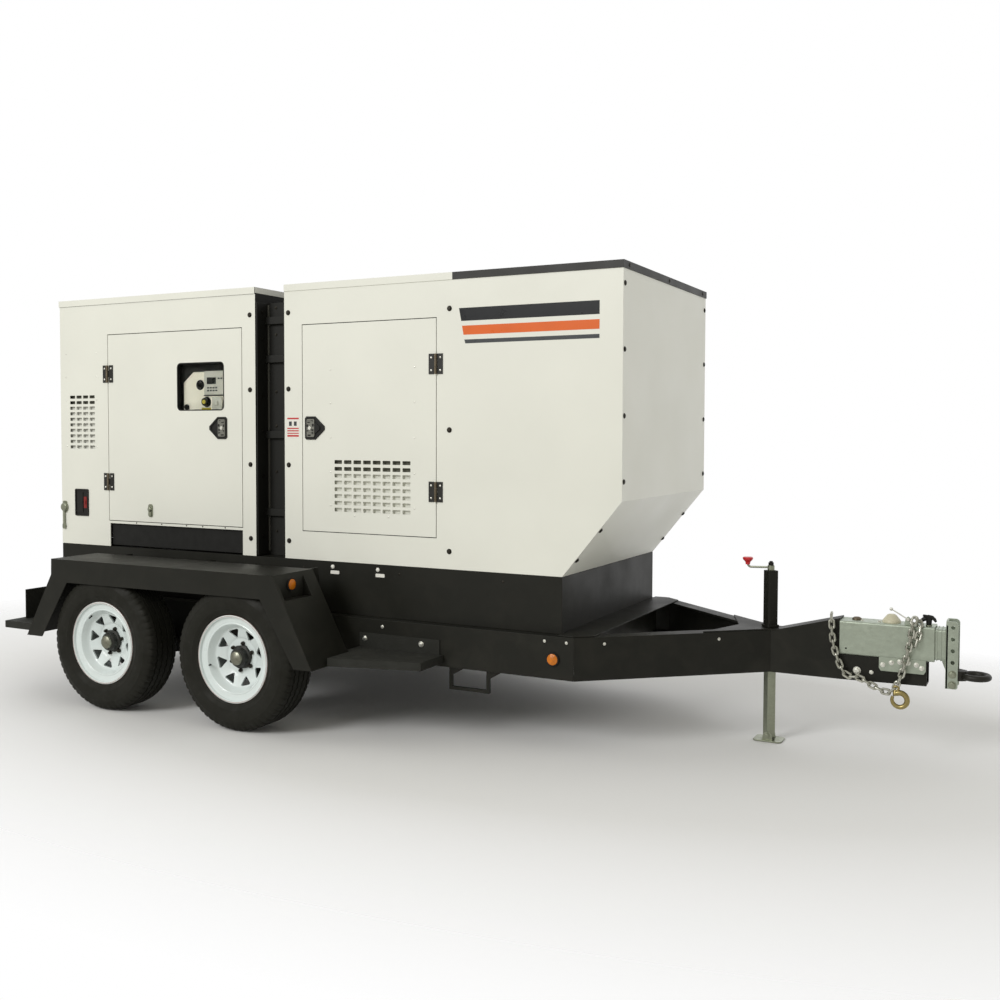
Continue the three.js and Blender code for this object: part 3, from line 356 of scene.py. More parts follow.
class Shape:
    """A mesh being drawn, in millimetres."""

    def __init__(self):
        self.bm = bmesh.new()

    def faces(self, points, faces):
        verts = [self.bm.verts.new(p) for p in points]
        for f in faces:
            self.bm.faces.new([verts[i] for i in f])
        return self

    def block(self, x0, x1, y0, y1, z0, z1):
        x0, x1 = sorted((x0, x1))
        y0, y1 = sorted((y0, y1))
        z0, z1 = sorted((z0, z1))
        corners = [(x, y, z) for z in (z0, z1) for y in (y0, y1) for x in (x0, x1)]
        quads = [(0, 2, 3, 1), (4, 5, 7, 6), (0, 1, 5, 4), (2, 6, 7, 3), (0, 4, 6, 2), (1, 3, 7, 5)]
        return self.faces(corners, quads)

    def prism(self, outline, axis, low, high):
        """An outline in the plane across an axis, given as (y, z), (x, z) or (x, y), between two values."""
        n = len(outline)
        points = [across(axis, a, b, c) for c in (low, high) for a, b in outline]
        sides = [(i, (i + 1) % n, n + (i + 1) % n, n + i) for i in range(n)]
        return self.faces(points, [tuple(reversed(range(n))), tuple(range(n, 2 * n)), *sides])

    def lathe(self, profile, centre, axis="z", steps=48, wobble=None):
        """A closed profile of (radius, height) turned about an axis through centre."""
        turn = Matrix.Translation(centre) @ direction(axis)
        n = len(profile)
        rings = []
        for i in range(steps):
            angle = 2 * math.pi * i / steps
            ring = []
            for k, (r, h) in enumerate(profile):
                if wobble:
                    r, h = wobble(i, k, r, h)
                ring.append(self.bm.verts.new(turn @ Vector((r * math.cos(angle), r * math.sin(angle), h))))
            rings.append(ring)
        for i in range(steps):
            a, b = rings[i], rings[(i + 1) % steps]
            for k in range(n):
                quad = [a[k], b[k], b[(k + 1) % n], a[(k + 1) % n]]
                self.bm.faces.new(quad)
        return self

    def rod(self, radius, start, end, sides=24, tip=None):
        """A round bar between two points; tip is its radius at the end."""
        start, end = Vector(start), Vector(end)
        turn = Matrix.Translation(start) @ direction(end - start)
        length = (end - start).length
        points = []
        for r, h in ((radius, 0), (radius if tip is None else tip, length)):
            for i in range(sides):
                angle = 2 * math.pi * (i + 0.5) / sides
                points.append(turn @ Vector((r * math.cos(angle), r * math.sin(angle), h)))
        quads = [(i, (i + 1) % sides, sides + (i + 1) % sides, sides + i) for i in range(sides)]
        caps = [tuple(reversed(range(sides))), tuple(range(sides, 2 * sides))]
        return self.faces(points, quads + caps)

    def tube(self, points, radius, sides=12, closed=False):
        """A round bar along points; radius is one number, or one for each point."""
        points = [Vector(p) for p in points]
        n = len(points)
        radii = radius if isinstance(radius, (list, tuple)) else [radius] * n
        normal = None
        rings = []
        for i, p in enumerate(points):
            before = points[i - 1] if (closed or i > 0) else p
            after = points[(i + 1) % n] if (closed or i < n - 1) else p
            tangent = (after - before).normalized()
            if normal is None:
                normal = tangent.orthogonal().normalized()
            normal = (normal - tangent * normal.dot(tangent)).normalized()
            other = tangent.cross(normal)
            rings.append([self.bm.verts.new(p + radii[i] * (normal * math.cos(a) + other * math.sin(a)))
                          for a in (2 * math.pi * k / sides for k in range(sides))])
        for i in range(n if closed else n - 1):
            a, b = rings[i], rings[(i + 1) % n]
            for k in range(sides):
                self.bm.faces.new([a[k], a[(k + 1) % sides], b[(k + 1) % sides], b[k]])
        if not closed:
            self.bm.faces.new(list(reversed(rings[0])))
            self.bm.faces.new(rings[-1])
        return self

    def hollow(self, outer, inner, axis, low, high):
        """A tube whose outer and inner outlines have the same number of points."""
        n = len(outer)
        points = [across(axis, a, b, c) for c in (low, high) for loop in (outer, inner) for a, b in loop]
        quads = []
        for i in range(n):
            j = (i + 1) % n
            quads += [(i, j, 2 * n + j, 2 * n + i), (n + j, n + i, 3 * n + i, 3 * n + j)]
            quads += [(j, i, n + i, n + j), (2 * n + i, 2 * n + j, 3 * n + j, 3 * n + i)]
        return self.faces(points, quads)

    def hexagon(self, radius, base, normal, height, washer=0.0):
        """A bolt's head on a surface, with a round washer under it."""
        base, normal = Vector(base), Vector(normal).normalized()
        if washer:
            self.rod(washer, base, base + normal * 1.6, 24)
            base = base + normal * 1.6
        top = base + normal * height
        self.rod(radius, base, top, 6)
        return self.rod(radius * 0.8, top, base + normal * (height + 0.8), 12, tip=radius * 0.6)

    def button(self, radius, base, normal, height, sides=20):
        """A domed screw head."""
        profile = [(0.01, -0.5), (radius, -0.5), (radius, height * 0.3), (radius * 0.8, height * 0.75),
                   (radius * 0.45, height), (0.01, height)]
        return self.lathe(profile, Vector(base), Vector(normal), sides)

    def soften(self, width, segments=2, angle=38):
        """Rounds the edges that are sharper than an angle."""
        bmesh.ops.recalc_face_normals(self.bm, faces=self.bm.faces)
        sharp = [e for e in self.bm.edges if len(e.link_faces) == 2
                 and e.calc_face_angle(0) > math.radians(angle)]
        bmesh.ops.bevel(self.bm, geom=sharp, offset=width, segments=segments, profile=0.55,
                        affect="EDGES", clamp_overlap=True)
        return self


def rounded(x0, x1, z0, z1, radius, steps=5):
    """A rectangle with rounded corners, as points."""
    corners = [(x1 - radius, z1 - radius, 0), (x0 + radius, z1 - radius, 90), (x0 + radius, z0 + radius, 180),
               (x1 - radius, z0 + radius, 270)]
    points = []
    for cx, cz, start in corners:
        for i in range(steps + 1):
            a = math.radians(start + 90 * i / steps)
            points.append((cx + radius * math.cos(a), cz + radius * math.sin(a)))
    return points


def circle(cx, cz, radius, steps=32):
    return [(cx + radius * math.cos(2 * math.pi * i / steps), cz + radius * math.sin(2 * math.pi * i / steps))
            for i in range(steps)]


def smooth(mesh, angle=38):
    """Smooth shading in which a large flat face keeps its own normal up to its folds."""
    limit = math.cos(math.radians(angle))
    around = [[] for _ in mesh.vertices]
    for polygon in mesh.polygons:
        polygon.use_smooth = True
        for vertex in polygon.vertices:
            around[vertex].append(polygon.index)
    normals = [polygon.normal.copy() for polygon in mesh.polygons]
    areas = [polygon.area for polygon in mesh.polygons]
    corners = []
    for polygon in mesh.polygons:
        own = normals[polygon.index]
        for vertex in polygon.vertices:
            total = Vector()
            for other in around[vertex]:
                if normals[other].dot(own) > limit:
                    total += normals[other] * areas[other]
            corners.append(total.normalized())
    mesh.normals_split_custom_set(corners)


def skin(sign, first, second):
    """Two y values on one side, measured outwards from the enclosure's skin."""
    return sign * (SIDE + first), sign * (SIDE + second)


def to_metres(bm):
    bmesh.ops.transform(bm, verts=bm.verts, matrix=Matrix.Translation((REAR, 0, 0)) @ Matrix.Scale(MM, 4))


def piece(name, shape, material, body="chassis", replaces=(), bevel=0.0, angle=38):
    """Makes a drawn shape into a piece of the model that rides on a CAD body."""
    if bevel:
        shape.soften(bevel)
    bmesh.ops.recalc_face_normals(shape.bm, faces=shape.bm.faces)
    to_metres(shape.bm)
    mesh = bpy.data.meshes.new(name)
    shape.bm.to_mesh(mesh)
    shape.bm.free()
    smooth(mesh, angle)
    return place(name, mesh, material, body, replaces)


def place(name, mesh, material, body, replaces=()):
    made = bpy.data.objects.new(name, mesh)
    bpy.context.scene.collection.objects.link(made)
    if material and not mesh.materials:
        mesh.materials.append(material)
    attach(made, body)
    if replaces:
        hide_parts(*replaces)
    return made


def carved(target, tool):
    """A shape less a tool, both in millimetres, as a new shape."""
    objects = []
    for shape in (target, tool):
        bmesh.ops.recalc_face_normals(shape.bm, faces=shape.bm.faces)
        mesh = bpy.data.meshes.new("scratch")
        shape.bm.to_mesh(mesh)
        shape.bm.free()
        made = bpy.data.objects.new("scratch", mesh)
        bpy.context.scene.collection.objects.link(made)
        objects.append(made)
    cut = objects[0].modifiers.new("cut", "BOOLEAN")
    cut.operation = "DIFFERENCE"
    cut.solver = "EXACT"
    cut.use_self = True
    cut.object = objects[1]
    result = Shape()
    result.bm.from_mesh(objects[0].evaluated_get(bpy.context.evaluated_depsgraph_get()).data)
    for made in objects:
        bpy.data.objects.remove(made)
    return result


def drawn(node):
    """A CAD node's own shape in millimetres, with its flat faces whole again."""
    shape = Shape()
    shape.bm.from_mesh(frame["nodes"][node].data)
    back = Matrix.Scale(1 / MM, 4) @ Matrix.Translation((-REAR, 0, 0))
    bmesh.ops.transform(shape.bm, verts=shape.bm.verts, matrix=back)
    bmesh.ops.remove_doubles(shape.bm, verts=shape.bm.verts, dist=0.01)
    bmesh.ops.dissolve_limit(shape.bm, angle_limit=math.radians(0.6), verts=shape.bm.verts,
                             edges=shape.bm.edges)
    return shape


def refined(node, bevel=1.6, tool=None, zones=()):
    """Stands for a CAD node: the same shape with folded edges, cut-outs, and zones in other finishes."""
    shape = drawn(node)
    if tool:
        shape = carved(shape, tool)
    shape.soften(bevel)
    finishes = [SLOT_FINISH[NODE_SLOT[node]], *[finish for finish, _ in zones]]
    for face in shape.bm.faces:
        centre = face.calc_center_median()
        for index, (_, inside) in enumerate(zones):
            if inside(centre, face.normal):
                face.material_index = index + 1
                break
    to_metres(shape.bm)
    mesh = bpy.data.meshes.new(node + "_shell")
    shape.bm.to_mesh(mesh)
    shape.bm.free()
    for finish in finishes:
        mesh.materials.append(finish)
    smooth(mesh)
    return place(node + "_shell", mesh, None, NODE_BODY[node], (node,))


# ---------- camera, light and floor ----------
def add_camera():
    azimuth, elevation, roll = (math.radians(v) for v in (27.289, 2.30, 0.168))
    back = Vector((math.sin(azimuth) * math.cos(elevation), -math.cos(azimuth) * math.cos(elevation),
                   math.sin(elevation)))
    level = Vector((math.cos(azimuth), math.sin(azimuth), 0))
    upright = back.cross(level)
    right = level * math.cos(roll) + upright * math.sin(roll)
    up = back.cross(right)
    camera = bpy.data.objects.new("camera", bpy.data.cameras.new("camera"))
    turn = Matrix((right, up, back)).transposed().to_4x4()
    camera.matrix_world = Matrix.Translation((2.686, -5.0119, 1.416)) @ turn
    camera.data.sensor_width = 36
    camera.data.lens = 39.11
    camera.data.shift_y = -0.0228
    bpy.context.scene.collection.objects.link(camera)
    bpy.context.scene.camera = camera


def add_area_light(name, location, target, size, power, color=(1, 1, 1)):
    light = bpy.data.objects.new(name, bpy.data.lights.new(name, "AREA"))
    light.data.shape = "DISK"
    light.data.size = size
    light.data.energy = power
    light.data.color = color
    light.location = location
    light.rotation_mode = "QUATERNION"
    light.rotation_quaternion = (Vector(location) - Vector(target)).to_track_quat("Z", "Y")
    bpy.context.scene.collection.objects.link(light)


def add_world(scene):
    """A white room that is brighter on the side behind the trailer than on the side in front of it."""
    world = bpy.data.worlds.new("studio")
    scene.world = world
    world.use_nodes = True
    nodes, links = world.node_tree.nodes, world.node_tree.links
    towards = nodes.new("ShaderNodeVectorMath")
    towards.operation = "DOT_PRODUCT"
    towards.inputs[1].default_value = (-0.35, 0.94, 0)
    links.new(nodes.new("ShaderNodeTexCoord").outputs["Generated"], towards.inputs[0])
    room = nodes.new("ShaderNodeMix")
    room.data_type = "RGBA"
    room.inputs["A"].default_value = (0.53, 0.515, 0.47, 1)
    room.inputs["B"].default_value = (1, 1, 1, 1)
    share = nodes.new("ShaderNodeMapRange")
    share.inputs["From Min"].default_value = -0.2
    share.inputs["From Max"].default_value = 0.5
    links.new(towards.outputs["Value"], share.inputs["Value"])
    links.new(share.outputs["Result"], room.inputs["Factor"])
    links.new(room.outputs["Result"], nodes["Background"].inputs["Color"])


def add_studio():
    scene = bpy.context.scene
    scene.view_settings.view_transform = "Standard"
    add_world(scene)
    add_area_light("key", (-3.5, -10.0, 6.5), (0, 0, 1.2), 5.0, 680)
    reach = 60000
    corners = [(-reach, -reach, -1), (reach, -reach, -1), (reach, reach, -1), (-reach, reach, -1)]
    floor = Shape().faces(corners, [(0, 1, 2, 3)])
    to_metres(floor.bm)
    mesh = bpy.data.meshes.new("floor")
    floor.bm.to_mesh(mesh)
    floor.bm.free()
    surface = Finish("pale_floor", (0.78, 0.78, 0.77), 0.9)
    surface.tint(surface.spread(surface.noise(0.6, 2), 0.4, 0.7, 0, 0.3), (0.76, 0.76, 0.75))
    surface.fade_out((0.40, 0.80, 0), 1.15, 2.3)
    mesh.materials.append(surface.done())
    made = bpy.data.objects.new("floor", mesh)
    scene.collection.objects.link(made)


# ---------- wheels ----------
def tyre_mesh():
    """Radial trailer tyre: bead, rim guard, bulged wall, notched shoulders and four tread grooves."""
    wall = [(199, -74), (206, -82), (213, -86.5), (220, -91), (226, -91.5), (229, -94), (240, -98),
            (243, -99.6), (246, -98.8), (262, -102.2), (280, -103), (294, -101.4), (297, -102),
            (300, -100.6), (312, -97), (323, -92.5), (331, -88), (336.5, -83.5), (340.5, -76),
            (342.5, -66), (343.3, -59)]
    tread = []
    for middle in (-52, -18, 18, 52):
        tread += [(343.6, middle - 4.2), (336.2, middle - 3.2), (336.2, middle + 3.2), (344.0, middle + 4.2)]
    mirrored = [(r, -y) for r, y in reversed(wall)]
    profile = wall + tread + mirrored
    shoulder = {k for k, (r, y) in enumerate(profile) if abs(y) > 64 and r > 322}
    groove = {k for k, (r, y) in enumerate(profile) if len(wall) <= k < len(wall) + len(tread)}

    def tread_pattern(i, k, r, y):
        if k in shoulder and i % 4 == 0:
            return r - 5.5, y
        if k in groove:
            return r, y + (2.2 if (i // 2) % 2 else -2.2)
        if abs(y) > 91 and 300 < r < 330 and i % 4 == 0:
            return r, y * 0.985
        return r, y

    return Shape().lathe(profile, (0, 0, 0), "y", 240, tread_pattern)


def rim_shape():
    """Steel rim: rolled flanges, a drop centre and a dished disc with eight windows."""
    flange = [(206, -80), (209.5, -84), (210, -89), (206, -92), (201, -90.5), (198.5, -86), (197, -80),
              (190, -77.5), (182, -76.5), (174, -75), (170, -72), (169, -60), (168, 0), (168, 60),
              (190, 78), (206, 88), (209, 86), (206, 80), (195, 76), (193, 62), (175, 44), (174, -36),
              (180, -46), (191.5, -58), (194, -74)]
    rim = Shape().lathe(flange, (0, 0, 0), "y", 96)
    dish = [(55, -15), (84, -15.5), (91, -18), (98, -24), (140, -39), (146, -44), (152, -53), (158, -64),
            (164, -74), (168, -76), (173, -74), (173, -66), (167, -67), (160, -56), (154, -45), (148, -36),
            (141, -31), (99, -15.5), (92, -10), (84, -7), (55, -7)]
    disc = Shape().lathe(dish, (0, 0, 0), "y", 96)
    windows = Shape()
    for i in range(8):
        middle = 2 * math.pi * (i + 0.5) / 8
        corner = []
        for centre_r, turn, start in ((101, 0.0, 180), (131, 0.165, -15), (131, -0.165, -75)):
            cx, cz = centre_r * math.cos(turn), centre_r * math.sin(turn)
            sweep = {180: (115, 245), -15: (10, 115), -75: (-115, -10)}[start]
            for s in range(6):
                a = math.radians(sweep[0] + (sweep[1] - sweep[0]) * s / 5)
                corner.append((cx + 6.5 * math.cos(a), cz + 6.5 * math.sin(a)))
        corner.sort(key=lambda p: math.atan2(p[1], p[0] - 118))
        turned = [(a * math.cos(middle) - b * math.sin(middle), a * math.sin(middle) + b * math.cos(middle))
                  for a, b in corner]
        windows.prism(turned, "y", -60, 30)
    disc = carved(disc, windows)
    rim.bm.from_mesh(mesh_of(disc))
    return rim


def mesh_of(shape):
    mesh = bpy.data.meshes.new("part")
    shape.bm.to_mesh(mesh)
    shape.bm.free()
    return mesh


def hub_shape():
    """Greased hub that stands through the disc, with a lobed flange, and the drum behind."""
    barrel = [(0.01, 60), (86, 60), (150, 92), (150, 172), (156, 172), (156, 96), (92, 54), (92, -12),
              (56, -12), (56, -26), (47, -30), (45, -50), (40, -56), (33, -58), (0.01, -58)]

    def lobes(i, k, r, y):
        if 50 < r < 60 and y < -11:
            return r + 3.0 * math.cos(6 * 2 * math.pi * i / 96), y
        return r, y

    return Shape().lathe(barrel, (0, 0, 0), "y", 96, lobes)


def wheel_hardware(kind):
    shape = Shape()
    if kind == "nuts":
        for i in range(6):
            a = 2 * math.pi * (i + 0.25) / 6
            base = (66 * math.cos(a), -13, 66 * math.sin(a))
            shape.rod(10, base, (base[0], -27, base[2]), 6, tip=9.5)
            shape.rod(6, (base[0], -26, base[2]), (base[0], -33, base[2]), 16, tip=5)
        shape.soften(0.8, 1)
    elif kind == "cap":
        cup = [(0.01, -40), (34, -40), (34, -60), (31, -67), (20, -72.5), (0.01, -74.5)]
        shape.lathe(cup, (0, 0, 0), "y", 48)
    elif kind == "valve":
        across, up = math.cos(math.radians(248)), math.sin(math.radians(248))
        shape.rod(4.5, (160 * across, -66, 160 * up), (149 * across, -88, 149 * up), 14, tip=3.6)
        shape.soften(0.6, 1)
    else:
        shape.lathe([(203.6, -91.6), (209.9, -89.2), (210.3, -87.4), (204.4, -92.2)], (0, 0, 0), "y", 96)
    return shape


def add_wheels():
    kinds = {
        "tyre": (tyre_mesh(), RUBBER, "tyre", "tyre"),
        "rim": (rim_shape(), RIM_WHITE, "rim_paint", "rim"),
        "hub": (hub_shape(), HUB_IRON, "hub_iron", "hub"),
        "lug_nuts": (wheel_hardware("nuts"), BOLT_DARK, None, None),
        "grease_cap": (wheel_hardware("cap"), CAP_STEEL, None, None),
        "valve_stem": (wheel_hardware("valve"), BLACK_PLASTIC, None, None),
        "rim_stripe": (wheel_hardware("stripe"), PINSTRIPE, None, None),
    }
    for kind, (shape, material, slot, node) in kinds.items():
        bmesh.ops.recalc_face_normals(shape.bm, faces=shape.bm.faces)
        bmesh.ops.scale(shape.bm, vec=(MM, MM, MM), verts=shape.bm.verts)
        mesh = mesh_of(shape)
        mesh.name = "wheel_" + kind
        mesh.materials.append(material)
        smooth(mesh, 32)
        for end, axle in AXLES.items():
            for side, sign in SIDES:
                tag = f"{end}_{side}"
                spin = (2.11 if end == "rear" else 0.9) + (0 if sign < 0 else 0.5)
                spun = mesh.copy()
                spun.transform(Matrix.Rotation(spin, 4, "Y"))
                made = bpy.data.objects.new(f"{kind}_{tag}_fine", spun)
                bpy.context.scene.collection.objects.link(made)
                centre = (REAR + axle * MM, sign * WHEEL_PLANE * MM, WHEEL_HEIGHT * MM)
                facing = Matrix.Rotation(0 if sign < 0 else math.pi, 4, "Z")
                made.matrix_world = Matrix.Translation(centre) @ facing
                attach(made, f"wheel_{tag}")
                if slot:
                    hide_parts(f"{node}_{tag}")


# ---------- enclosure ----------
def slot_cutters(x0, x1, z0, z1, columns, rows, sign, fill=(0.8, 0.56)):
    """Rows of rounded slots through one side's skin."""
    shape = Shape()
    pitch_x, pitch_z = (x1 - x0) / columns, (z1 - z0) / rows
    for i in range(columns):
        for k in range(rows):
            cx, cz = x0 + pitch_x * (i + 0.5), z0 + pitch_z * (k + 0.5)
            w, h = pitch_x * fill[0] / 2, pitch_z * fill[1] / 2
            shape.prism(rounded(cx - w, cx + w, cz - h, cz + h, 3, 2), "y", *skin(sign, -40, 20))
    return shape


def merge(first, *others):
    for other in others:
        first.bm.from_mesh(mesh_of(other))
    return first


REAR_VENT = (69, 276, 1317, 1632, 4, 10)
DOOR_VENT = (1915, 2369, 1020, 1290, 8, 8)


def is_hinge(centre, normal):
    return abs(centre.y) > SIDE + 0.4 and centre.z < ROOF_BOTTOM - 20


def add_housings():
    def inside_rear(centre, normal):
        return (8 < centre.x < GAP_START - 2 and abs(centre.y) < SIDE - 3 and centre.z < ROOF_TOP - 3.5)

    def rear_end_wall(centre, normal):
        return centre.x > GAP_START - 6 and centre.z < ROOF_BOTTOM - 1 and abs(centre.y) < SIDE - 0.5

    vents = merge(slot_cutters(*REAR_VENT, -1), slot_cutters(*REAR_VENT, 1))
    refined("rear_housing", 1.4, vents,
            [(HINGE_BLACK, is_hinge), (GAP_BLACK, rear_end_wall), (FOAM, inside_rear)])

    def tunnel(centre, normal):
        return centre.x < GAP_END + 1 and abs(centre.y) < SIDE - 5 and centre.z < ROOF_BOTTOM

    def inside_front(centre, normal):
        slope = SLOPE_X + (centre.z - SLOPE_Z) * SLOPE_RUN / SLOPE_RISE
        front = min(FRONT, slope) - 6
        return GAP_END < centre.x < front and abs(centre.y) < SIDE - 3 and centre.z < ROOF_TOP - 3.5

    refined("front_housing", 1.4, None,
            [(HINGE_BLACK, is_hinge), (GAP_BLACK, tunnel), (FOAM, inside_front)])
    refined("roof_grille", 1.6)


def add_window(body, x0, x1, z0, z1, sign):
    """Thin rubber channel round a glazed opening, and its pane."""
    outer = rounded(x0 - 3, x1 + 3, z0 - 3, z1 + 3, 25, 6)
    inner = rounded(x0 + 3, x1 - 3, z0 + 3, z1 - 3, 19, 6)
    ring = Shape().hollow(outer, inner, "y", *skin(sign, -22, 1.2))
    piece("window_seal", ring, SEAL, body, bevel=0.6)
    pane = Shape().prism(rounded(x0, x1, z0, z1, 20, 6), "y", *skin(sign, -14.5, -12))
    piece("window_pane", pane, PANE, body, bevel=0.3)


def add_doors():
    window = Shape().prism(rounded(*WINDOW, 22, 6), "y", -SIDE - 20, -SIDE + 40)
    plan = [("control_door", CONTROL_DOOR, -1, window), ("access_door_left", CONTROL_DOOR, 1, None),
            ("engine_door_right", ENGINE_DOOR, -1, slot_cutters(*DOOR_VENT, -1)),
            ("engine_door_left", ENGINE_DOOR, 1, slot_cutters(*DOOR_VENT, 1))]
    for name, (x0, x1, z0, z1), sign, tool in plan:
        refined(name, 1.0, tool, [(HINGE_BLACK, is_hinge)])
        foot = DOOR_VENT[3] + 30 if "engine" in name else z0 + 12
        lining = Shape().block(x0 + 12, x1 - 12, *skin(sign, -4, -24), foot, z1 - 12)
        if name == "control_door":
            left, right, bottom, top = WINDOW
            opening = rounded(left - 12, right + 12, bottom - 12, top + 12, 30, 5)
            lining = carved(lining, Shape().prism(opening, "y", -SIDE - 10, -SIDE + 50))
        piece(name + "_lining", lining, FOAM, name, bevel=5)
    add_window("control_door", *WINDOW, -1)


def vent_backing(name, body, vent, sign):
    """Sheets behind a group of slots: pale and close below, and dark and deep behind the two top rows, where
    the dark grey sheet is painted shade.
    """
    x0, x1, z0, z1, _, rows = vent
    turn = z1 - 2 * (z1 - z0) / rows
    pale = Shape().block(x0 - 14, x1 + 14, *skin(sign, -16, -18), z0 - 14, turn)
    for x in (x0 - 14, x1 + 12):
        pale.block(x, x + 2, *skin(sign, -4.5, -16), z0 - 14, turn)
    piece(name + "_baffle", pale, IVORY, body, bevel=0.6)
    # The dark grey sheet behind the two top rows is painted shade, where those slots look dark.
    dark = Shape().block(x0 - 14, x1 + 14, *skin(sign, -22, -26), turn, z1 + 14)
    piece(name + "_hood", dark, VENT_SHADE, body, bevel=1)


def add_vent_backs():
    for side, sign in SIDES:
        vent_backing(f"rear_vent_{side}", "chassis", REAR_VENT, sign)
        vent_backing(f"engine_door_{side}_vent", f"engine_door_{side}", DOOR_VENT, sign)


def add_hinge_details():
    """Round barrels over the knuckles, and two screws in each leaf."""
    for name, pivot, towards, sign in (("control_door", 376, -1, -1), ("access_door_left", 376, -1, 1),
                                       ("engine_door_right", 2506, 1, -1), ("engine_door_left", 2506, 1, 1)):
        axis = sign * 612
        fixed, moving, fixed_screws, moving_screws = Shape(), Shape(), Shape(), Shape()
        leaf, out = sign * 608.6, (0, sign, 0)
        for z in HINGE_HEIGHTS:
            for end in (-1, 1):
                knuckle = z + end * 33
                fixed.rod(6.9, (pivot, axis, knuckle - 14.5), (pivot, axis, knuckle + 14.5), 24)
                fixed_screws.button(5.2, (pivot + towards * 23, leaf, z + end * 30), out, 2.4)
                moving_screws.button(5.2, (pivot - towards * 26, leaf, z + end * 30), out, 2.4)
            moving.rod(6.9, (pivot, axis, z - 17.5), (pivot, axis, z + 17.5), 24)
        piece(name + "_hinge_barrels", fixed, HINGE_STEEL, bevel=0.8)
        piece(name + "_hinge_pins", moving, HINGE_STEEL, name, bevel=0.8)
        piece(name + "_frame_screws", fixed_screws, BOLT_STEEL)
        piece(name + "_leaf_screws", moving_screws, BOLT_STEEL, name)


def pentagon(x, towards, half, nose, height, tip):
    """Outline of a latch: square at one end and pointed at the other."""
    z = LATCH_HEIGHT
    cut = 9
    upper = [(x + towards * nose, z + tip), (x + towards * half * 0.55, z + height),
             (x - towards * (half - cut), z + height), (x - towards * half, z + height - cut)]
    lower = [(a, 2 * z - b) for a, b in reversed(upper)]
    return upper + lower


PADDLE_MARKS = ((-24, 26, 17, 12), (-3, 30, 14, 10), (-22, -40, 19, 12), (1, -32, 13, 14),
                (-27, 5, 9, 13), (5, 7, 11, 14), (2, -15, 13, 9), (-26, -20, 10, 9))


def add_latches():
    """Paddle latches: a black bezel and dished pan on the door, and the lifting paddle."""
    for door, latch, x, towards, sign in (("control_door", "control_door_latch", 1195, -1, -1),
                                          ("access_door_left", "access_door_latch", 1195, -1, 1),
                                          ("engine_door_right", "engine_door_right_latch", 1784, 1, -1),
                                          ("engine_door_left", "engine_door_left_latch", 1784, 1, 1)):
        bezel = Shape().hollow(pentagon(x, towards, 41, 79, 58, 9), pentagon(x, towards, 33, 66, 49, 7),
                               "y", *skin(sign, -1, 4.5))
        bezel.prism(pentagon(x, towards, 36, 70, 52, 8), "y", *skin(sign, -1, 0.4))
        piece(door + "_latch_bezel", bezel, LATCH_BLACK, door, bevel=1.2)
        z = LATCH_HEIGHT
        ends = sorted((x - towards * 29, x + towards * 18))
        paddle = Shape().prism(rounded(*ends, z - 45, z + 45, 7, 4), "y", *skin(sign, 1.0, 7.5))
        for dz in (-33, -22, 20, 31):
            paddle.block(x - towards * 23, x + towards * 10, *skin(sign, 7, 9.5), z + dz, z + dz + 5)
        piece(latch + "_paddle", paddle, LATCH_INNER, latch, (latch,), bevel=1.2)
        near, far = x + towards * 18.5, x + towards * 50
        slots = Shape().prism([(near, z - 30), (far, z - 7), (far, z + 7), (near, z + 30)], "y",
                              *skin(sign, 0.6, 5.5))
        for along, up, width, height in PADDLE_MARKS:
            slots.block(x + towards * along, x + towards * (along + width), *skin(sign, 7, 8),
                        z + up, z + up + height)
        piece(latch + "_paddle_slots", slots, LATCH_BLACK, latch, bevel=0.3)
        key = x - towards * 8
        lock = Shape().rod(9, (key, sign * (SIDE + 7), z), (key, sign * (SIDE + 11.5), z), 28)
        lock.block(key - 1, key + 1, *skin(sign, 11, 12.2), z - 5, z + 5)
        piece(latch + "_lock_barrel", lock, BOLT_STEEL, latch, bevel=0.5)


def add_side_bolts():
    """Fasteners of the enclosure's panels."""
    heads, screws = Shape(), {"chassis": Shape(), "engine_door_right": Shape(), "engine_door_left": Shape()}
    for _, sign in SIDES:
        out = Vector((0, sign, 0))
        face = sign * SIDE
        for x, heights in ((1390, (2023, 1638, 1252, 868)), (1638, (2022, 1638, 1254, 868)),
                           (2577, (1997, 1432, 862))):
            for z in heights:
                heads.hexagon(9.5, (x, face, z), out, 5, washer=13)
        for x in (46, 286):
            for z in (1863, 1730, 1598, 1336):
                screws["chassis"].button(4, (x, face, z), out, 2)
        door = "engine_door_right" if sign < 0 else "engine_door_left"
        for x in (1898, 2386):
            for z in (1730, 1564, 1394, 1224, 1057):
                screws[door].button(4, (x, face, z), out, 2)
        for x in (2041, 2238):
            screws[door].button(4, (x, face, 1010), out, 2)
    for y in (-585, 585):
        for z in (2066, 1782, 1494, 1208):
            heads.hexagon(9.5, (FRONT, y, z), (1, 0, 0), 3, washer=12)
    slant = Vector((SLOPE_RISE, 0, -SLOPE_RUN)).normalized()
    for y in (-585, 585):
        for share in (0.22, 0.62):
            at = Vector((SLOPE_X + SLOPE_RUN * share, y, SLOPE_Z + SLOPE_RISE * share))
            heads.hexagon(9.5, at, slant, 4, washer=12)
    for y in (-540, 0, 540):
        heads.hexagon(7, (3441, y, ROOF_BOTTOM + 17), (1, 0, 0), 0.5, washer=9)
    piece("panel_bolts", heads, BOLT_DARK, bevel=0.5)
    for body, shape in screws.items():
        piece(f"{body}_small_screws", shape, BOLT_STEEL, body)


